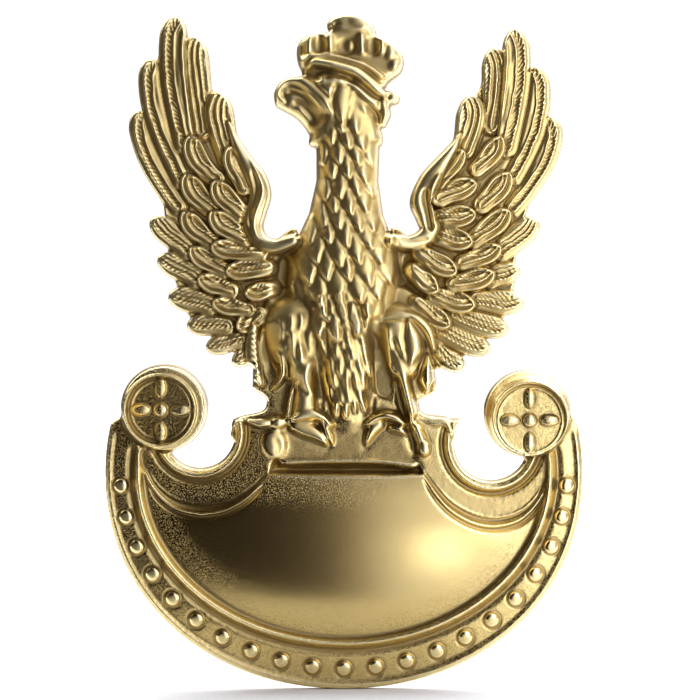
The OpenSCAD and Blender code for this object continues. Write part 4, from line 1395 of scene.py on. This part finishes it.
def joined(name, meshes):
    """One mesh from several."""
    points, faces = [], []
    for mesh in meshes:
        start = len(points)
        points += [tuple(v.co / MM) for v in mesh.vertices]
        faces += [[start + i for i in p.vertices] for p in mesh.polygons]
    return solid(name, points, faces)


def thread_wave(a, y):
    """0 at a right-handed thread's crest and 1 at its root, with narrow flats at both."""
    phase = (y / PITCH - a / (2 * math.pi)) % 1
    return np.clip(np.abs(phase - 0.5) * 2 * 1.35 - 0.2, 0, 1)


def stud_mesh():
    """The stud: a flange, a threaded shank and a plain point that leads the nut on."""
    flange_r, shank_r, point_r = STUD_HIGH[0] - TINY, 1.98, 1.49
    back, end = STUD_LOW[1], STUD_HIGH[1]
    flange_top, thread_end = back + 0.8, end - 2
    neck = flange_top + 0.5

    def threaded(a, y):
        depth = STUD_THREAD_DEPTH * ramp(neck, neck + 0.8, y) * ramp(thread_end + 0.1, thread_end - 0.5, y)
        runout = mix(shank_r, point_r, ramp(thread_end - 0.25, thread_end, y))
        return runout - depth * thread_wave(a, y)

    rings = steps(back, flange_r, (0, -0.12), (0.12, 0))
    rings += steps(flange_top, flange_r, (-0.15, 0), (-0.05, -0.06), (0, -0.2))
    rings += steps(flange_top, 0, (0, 2.5), (0.06, 2.22), (0.2, 2.02)) + [(neck - 0.05, shank_r)]
    rings += [(y, threaded) for y in np.arange(neck, thread_end + 0.01, PITCH / 12)]
    rings += [(thread_end + 0.05, point_r)]
    rings += steps(end, point_r, (-0.42, 0), (-0.36, -0.03)) + steps(end, 0, (-0.06, 1.16), (0, 1.04))
    return turned("stud", rings, closed=False)


def lumpy(radius, amount, seed):
    """A radius that wanders with the angle, as hand-flowed solder does."""
    return lambda a, y: radius + amount * (
        np.sin(2 * a + seed) + 0.7 * np.sin(5 * a + 2.3 * seed) + 0.5 * np.sin(9 * a + 4.1 * seed + y)
    ) / 2.2


def solder_ring(name, inner, outer, low, high, centre, seed):
    """A fillet of solder that climbs the edge of a soldered foot."""
    width = outer - inner
    swing = 0.16 * width
    rings = [(low, inner), (low, lumpy(outer - swing, swing, seed))]
    for t in (0.2, 0.4, 0.6, 0.8):
        flow = (1 - t) ** 1.8
        radius = inner + 0.1 * width + (0.9 * width - swing) * flow
        rings.append((mix(low, high, t), lumpy(radius, swing * flow, seed + t)))
    rings += [(high, inner + 0.08 * width), (high, inner)]
    return turned(name, rings, centre)


def prong_mesh(node):
    """A wire prong with a headed foot, a slightly uneven shank and a filed point."""
    low, high = node_box(node)
    foot = (high[0] - low[0]) / 2 - TINY
    base, end = low[1], high[1]
    wire = 0.49
    rings = steps(base, foot, (0, -0.05), (0.06, 0), (0.26, 0), (0.36, -0.1), (0.4, -0.25))
    rings += steps(base, 0, (0.42, 0.72), (0.5, 0.56), (0.65, wire))
    rings += [(y, wire - 0.006 * (i % 2)) for i, y in enumerate(np.linspace(base + 0.9, end - 1.15, 7))]
    rings += [(end - 1.0, wire - 0.02)]
    rings += steps(end, 0, (-0.85, 0.43), (-0.5, 0.28), (-0.15, 0.13), (-0.04, 0.08), (0, 0.03))
    return turned(node + "_wire", rings, middle_of(low, high), closed=False)


def prong_solder_mesh():
    """The two fillets at the prongs' feet, which are one node of the CAD."""
    fillets = []
    for seed, node in ((1.0, "left_prong"), (2.6, "right_prong")):
        low, high = node_box(node)
        centre = middle_of(low, high)
        fillets.append(solder_ring(node + "_fillet", 1.1, 1.7, low[1], low[1] + 0.34, centre, seed))
    return joined("prong_solder", fillets)


def washer_mesh():
    """A blanked washer: rounded where the punch entered and a burr where it left."""
    low, high = WASHER_LOW[1], WASHER_HIGH[1] - TINY
    outer, hole = WASHER_HIGH[0] - TINY, 2.22
    rings = [(low, hole + 0.14)] + steps(low, outer, (0, -0.22), (0.05, -0.09), (0.16, -0.015), (0.3, 0))
    rings += steps(high, outer, (-0.12, -0.02), (-0.03, -0.03), (0, -0.07), (-0.03, -0.2))
    rings += steps(high, 0, (-0.03, 4.3), (-0.05, 4.15), (-0.05, 3.9), (-0.03, 3.75))
    rings += steps(high, hole, (-0.03, 0.1), (0, 0.05), (-0.03, 0)) + [(low + 0.1, hole + 0.02)]
    return turned("clamp_washer", rings)


def hub_mesh():
    """The nut's hub: chamfered, with a groove round it and its thread showing at both mouths."""
    low, high = HUB_LOW[1], HUB_HIGH[1]
    outer, bore = HUB_HIGH[0] - TINY, 2.07

    def tapped(a, y):
        fade = ramp(low, low + 0.3, y) * ramp(high, high - 0.3, y)
        lead = 0.3 * (1 - ramp(high, high - 0.45, y)) + 0.2 * (1 - ramp(low, low + 0.3, y))
        return bore + lead + NUT_THREAD_DEPTH * (1 - thread_wave(a, y)) * fade

    inside = [(y, tapped) for y in np.linspace(low, high, 70)]
    outside = steps(high, outer, (0, -0.45), (-0.06, -0.3), (-0.3, -0.04), (-0.4, 0), (-1.1, 0),
                    (-1.16, -0.16), (-1.4, -0.18), (-1.46, 0)) + steps(low, outer, (0.1, 0), (0, -0.08))
    return turned("nut_hub", list(reversed(inside + outside)))


def disc_mesh():
    """The nut's stamped disc, dished behind and cut with round notches for the fingers."""
    low, high = DISC_LOW[1], DISC_HIGH[1]
    outer, seat = DISC_HIGH[0], 3.51

    def knurled(inset):
        """The rim's radius, notched all round and inset from the full outline."""
        notch = KNURL_CUT + inset * 0.6

        def radius(a, y):
            off = ((a * KNURLS / (2 * math.pi) + 0.5) % 1 - 0.5) * 2 * math.pi / KNURLS * outer
            cut = outer + 0.3 - np.sqrt(np.maximum(notch**2 - off**2, 0))
            return np.minimum(outer - inset, np.where(np.abs(off) < notch, cut, outer))

        return radius

    rim = [(low, knurled(0.2)), (low + 0.05, knurled(0.08)), (low + 0.16, knurled(0.02)),
           (high - 0.3, knurled(0.02)), (high - 0.12, knurled(0.08)), (high - 0.03, knurled(0.2)),
           (high, knurled(0.36))]
    face = steps(high, 0, (0, 5.6), (-0.06, 5.45), (-0.14, 5.35), (-0.16, 4.3), (-0.14, 4.2),
                 (-0.04, 4.05), (0, 3.95)) + steps(high, seat, (0, 0.12), (-0.08, 0)) + [(low, seat)]
    return turned("nut_disc", rim + face, sides=12 * KNURLS)


STAMPED = turned_brass("nut_brass", rgba(0.70, 0.52, 0.22), rgba(0.30, 0.2, 0.09), 0.3)
TURNED = turned_brass("brass_turned", rgba(0.80, 0.62, 0.28), rgba(0.42, 0.29, 0.13), 0.2)
WIRE = turned_brass("brass_wire", rgba(0.68, 0.5, 0.22), rgba(0.28, 0.19, 0.09), 0.3)
SOLDER = soft_solder()
BLANKED = turned_brass("washer_brass", rgba(0.6, 0.44, 0.19), rgba(0.26, 0.18, 0.09), 0.38)
STUD_FILLET = solder_ring("stud_solder", 4.0, 4.98, STUD_LOW[1], STUD_LOW[1] + 0.68, (0, 0), 0.7)
add_piece("knurled_disc", disc_mesh(), STAMPED, NUT, "nut_brass", "nut_disc")
add_piece("threaded_stud", stud_mesh(), TURNED, BADGE, "brass_turned", "stud")
add_piece("stud_fillet", STUD_FILLET, SOLDER, BADGE, "solder", "stud_solder")
add_piece("left_wire_prong", prong_mesh("left_prong"), WIRE, BADGE, "brass_wire", "left_prong")
add_piece("right_wire_prong", prong_mesh("right_prong"), WIRE, BADGE, "brass_wire", "right_prong")
add_piece("prong_fillets", prong_solder_mesh(), SOLDER, BADGE, "solder", "prong_solder")
add_piece("blanked_washer", washer_mesh(), BLANKED, WASHER, "washer_brass", "clamp_washer")
add_piece("tapped_hub", hub_mesh(), TURNED, NUT, "brass_turned", "nut_hub")

# ---------- stage, lights and camera


# Places and sizes of the floor and the lamps are in metres


def stage_floor():
    """Pale ground that the badge stands on. Its near edge lies close to the badge."""
    bottom = cad_low[2]
    size, front_edge, left_edge = 1.3, -0.014, -0.16
    corners = [(left_edge, front_edge), (size, front_edge), (size, size), (left_edge, size)]
    mesh = bpy.data.meshes.new("floor")
    mesh.from_pydata([(x, y, bottom) for x, y in corners], [], [(0, 1, 2, 3)])
    floor = bpy.data.objects.new("floor", mesh)
    n = Nodes("pale_floor")
    cloud = n.noise(0.004, 2)
    tint = n.colour(cloud, rgba(0.9, 0.9, 0.9), rgba(0.93, 0.93, 0.92))
    mesh.materials.append(n.finish(tint, 0.7, n.bump(cloud, 0.1), metallic=0.0))
    show(floor)


def warm_to_cool(value):
    """Light of a given strength: brown where it is dim, daylight where it is strong."""
    t = min(value, 1)
    return rgba(value, value * mix(0.76, 1.03, t), value * mix(0.62, 1.25, t))


def panel(name, place, target, size, radiance, colour=(1, 1, 1)):
    """A soft lamp, given by the brightness that its face is seen with."""
    lamp = bpy.data.lights.new(name, "AREA")
    lamp.color = colour
    lamp.shape = "RECTANGLE"
    lamp.size, lamp.size_y = size
    lamp.energy = radiance * math.pi * size[0] * size[1]
    holder = bpy.data.objects.new(name, lamp)
    holder.location = place
    holder.rotation_euler = (Vector(target) - Vector(place)).to_track_quat("-Z", "Y").to_euler()
    holder.visible_camera = False
    show(holder)


# Strength of the room's light, from the far left (0) through straight ahead or behind (0.5) to the far right
ROOM_ENDS = (0.1, 0.4)
ROOM_STOPS = (
    (0.15, 0.02), (0.3, 0.02), (0.46, 0.03), (0.5, 0.08), (0.535, 0.5), (0.58, 1.0), (0.7, 1.45), (0.84, 1.1),
)
BACKDROP_STRENGTH = 1.05


def studio():
    """A room that is dark on the left and bright on the right, a white backdrop, and three lamps."""
    world = bpy.data.worlds.new("studio")
    world.use_nodes = True
    bpy.context.scene.world = world
    tree = world.node_tree
    tree.nodes.clear()
    add, link = tree.nodes.new, tree.links.new
    split = add("ShaderNodeSeparateXYZ")
    link(add("ShaderNodeTexCoord").outputs["Generated"], split.inputs[0])
    across = add("ShaderNodeValToRGB")
    span = add("ShaderNodeMapRange")
    link(split.outputs["X"], span.inputs[0])
    span.inputs[1].default_value = -1
    link(span.outputs[0], across.inputs[0])
    stops = across.color_ramp.elements
    for stop, value in zip(stops, ROOM_ENDS):
        stop.color = warm_to_cool(value)
    for position, value in ROOM_STOPS:
        stops.new(position).color = warm_to_cool(value)
    backdrop = add("ShaderNodeBackground")
    backdrop.inputs["Color"].default_value = rgba(1, 1, 1)
    backdrop.inputs["Strength"].default_value = BACKDROP_STRENGTH
    room = add("ShaderNodeBackground")
    link(across.outputs["Color"], room.inputs["Color"])
    choose = add("ShaderNodeMixShader")
    link(add("ShaderNodeLightPath").outputs["Is Camera Ray"], choose.inputs[0])
    link(room.outputs[0], choose.inputs[1])
    link(backdrop.outputs[0], choose.inputs[2])
    link(choose.outputs[0], add("ShaderNodeOutputWorld").inputs[0])

    panel("backdrop_lamp", (0, 0.75, 0.7), (0, 0.75, 0), (2.6, 1.5), 3.0)
    panel("glint_panel", (0.053, -0.137, -0.068), (0.009, 0, -0.013), (0.025, 0.03), 2.5, (0.96, 1, 1.15))
    panel("side_panel", (0.056, -0.05, 0.005), (0.016, 0, 0.005), (0.03, 0.08), 3.4, (0.96, 1, 1.1))


def camera():
    """Straight ahead of the badge. view_width is what it sees at the badge's plane, in mm."""
    middle_x, middle_z = 0.535, 4.46
    away, view_width, film = 260.0, 62.41, 36
    data = bpy.data.cameras.new("camera")
    data.sensor_width = film
    data.lens = film * away / view_width
    data.clip_end = 100
    data.clip_start = 0.01
    eye = bpy.data.objects.new("camera", data)
    eye.location = Vector((middle_x, -away, middle_z)) * MM
    eye.rotation_euler = (math.radians(90), 0, 0)
    show(eye)
    bpy.context.scene.camera = eye


stage_floor()
studio()
camera()
bpy.context.scene.view_settings.view_transform = "Standard"
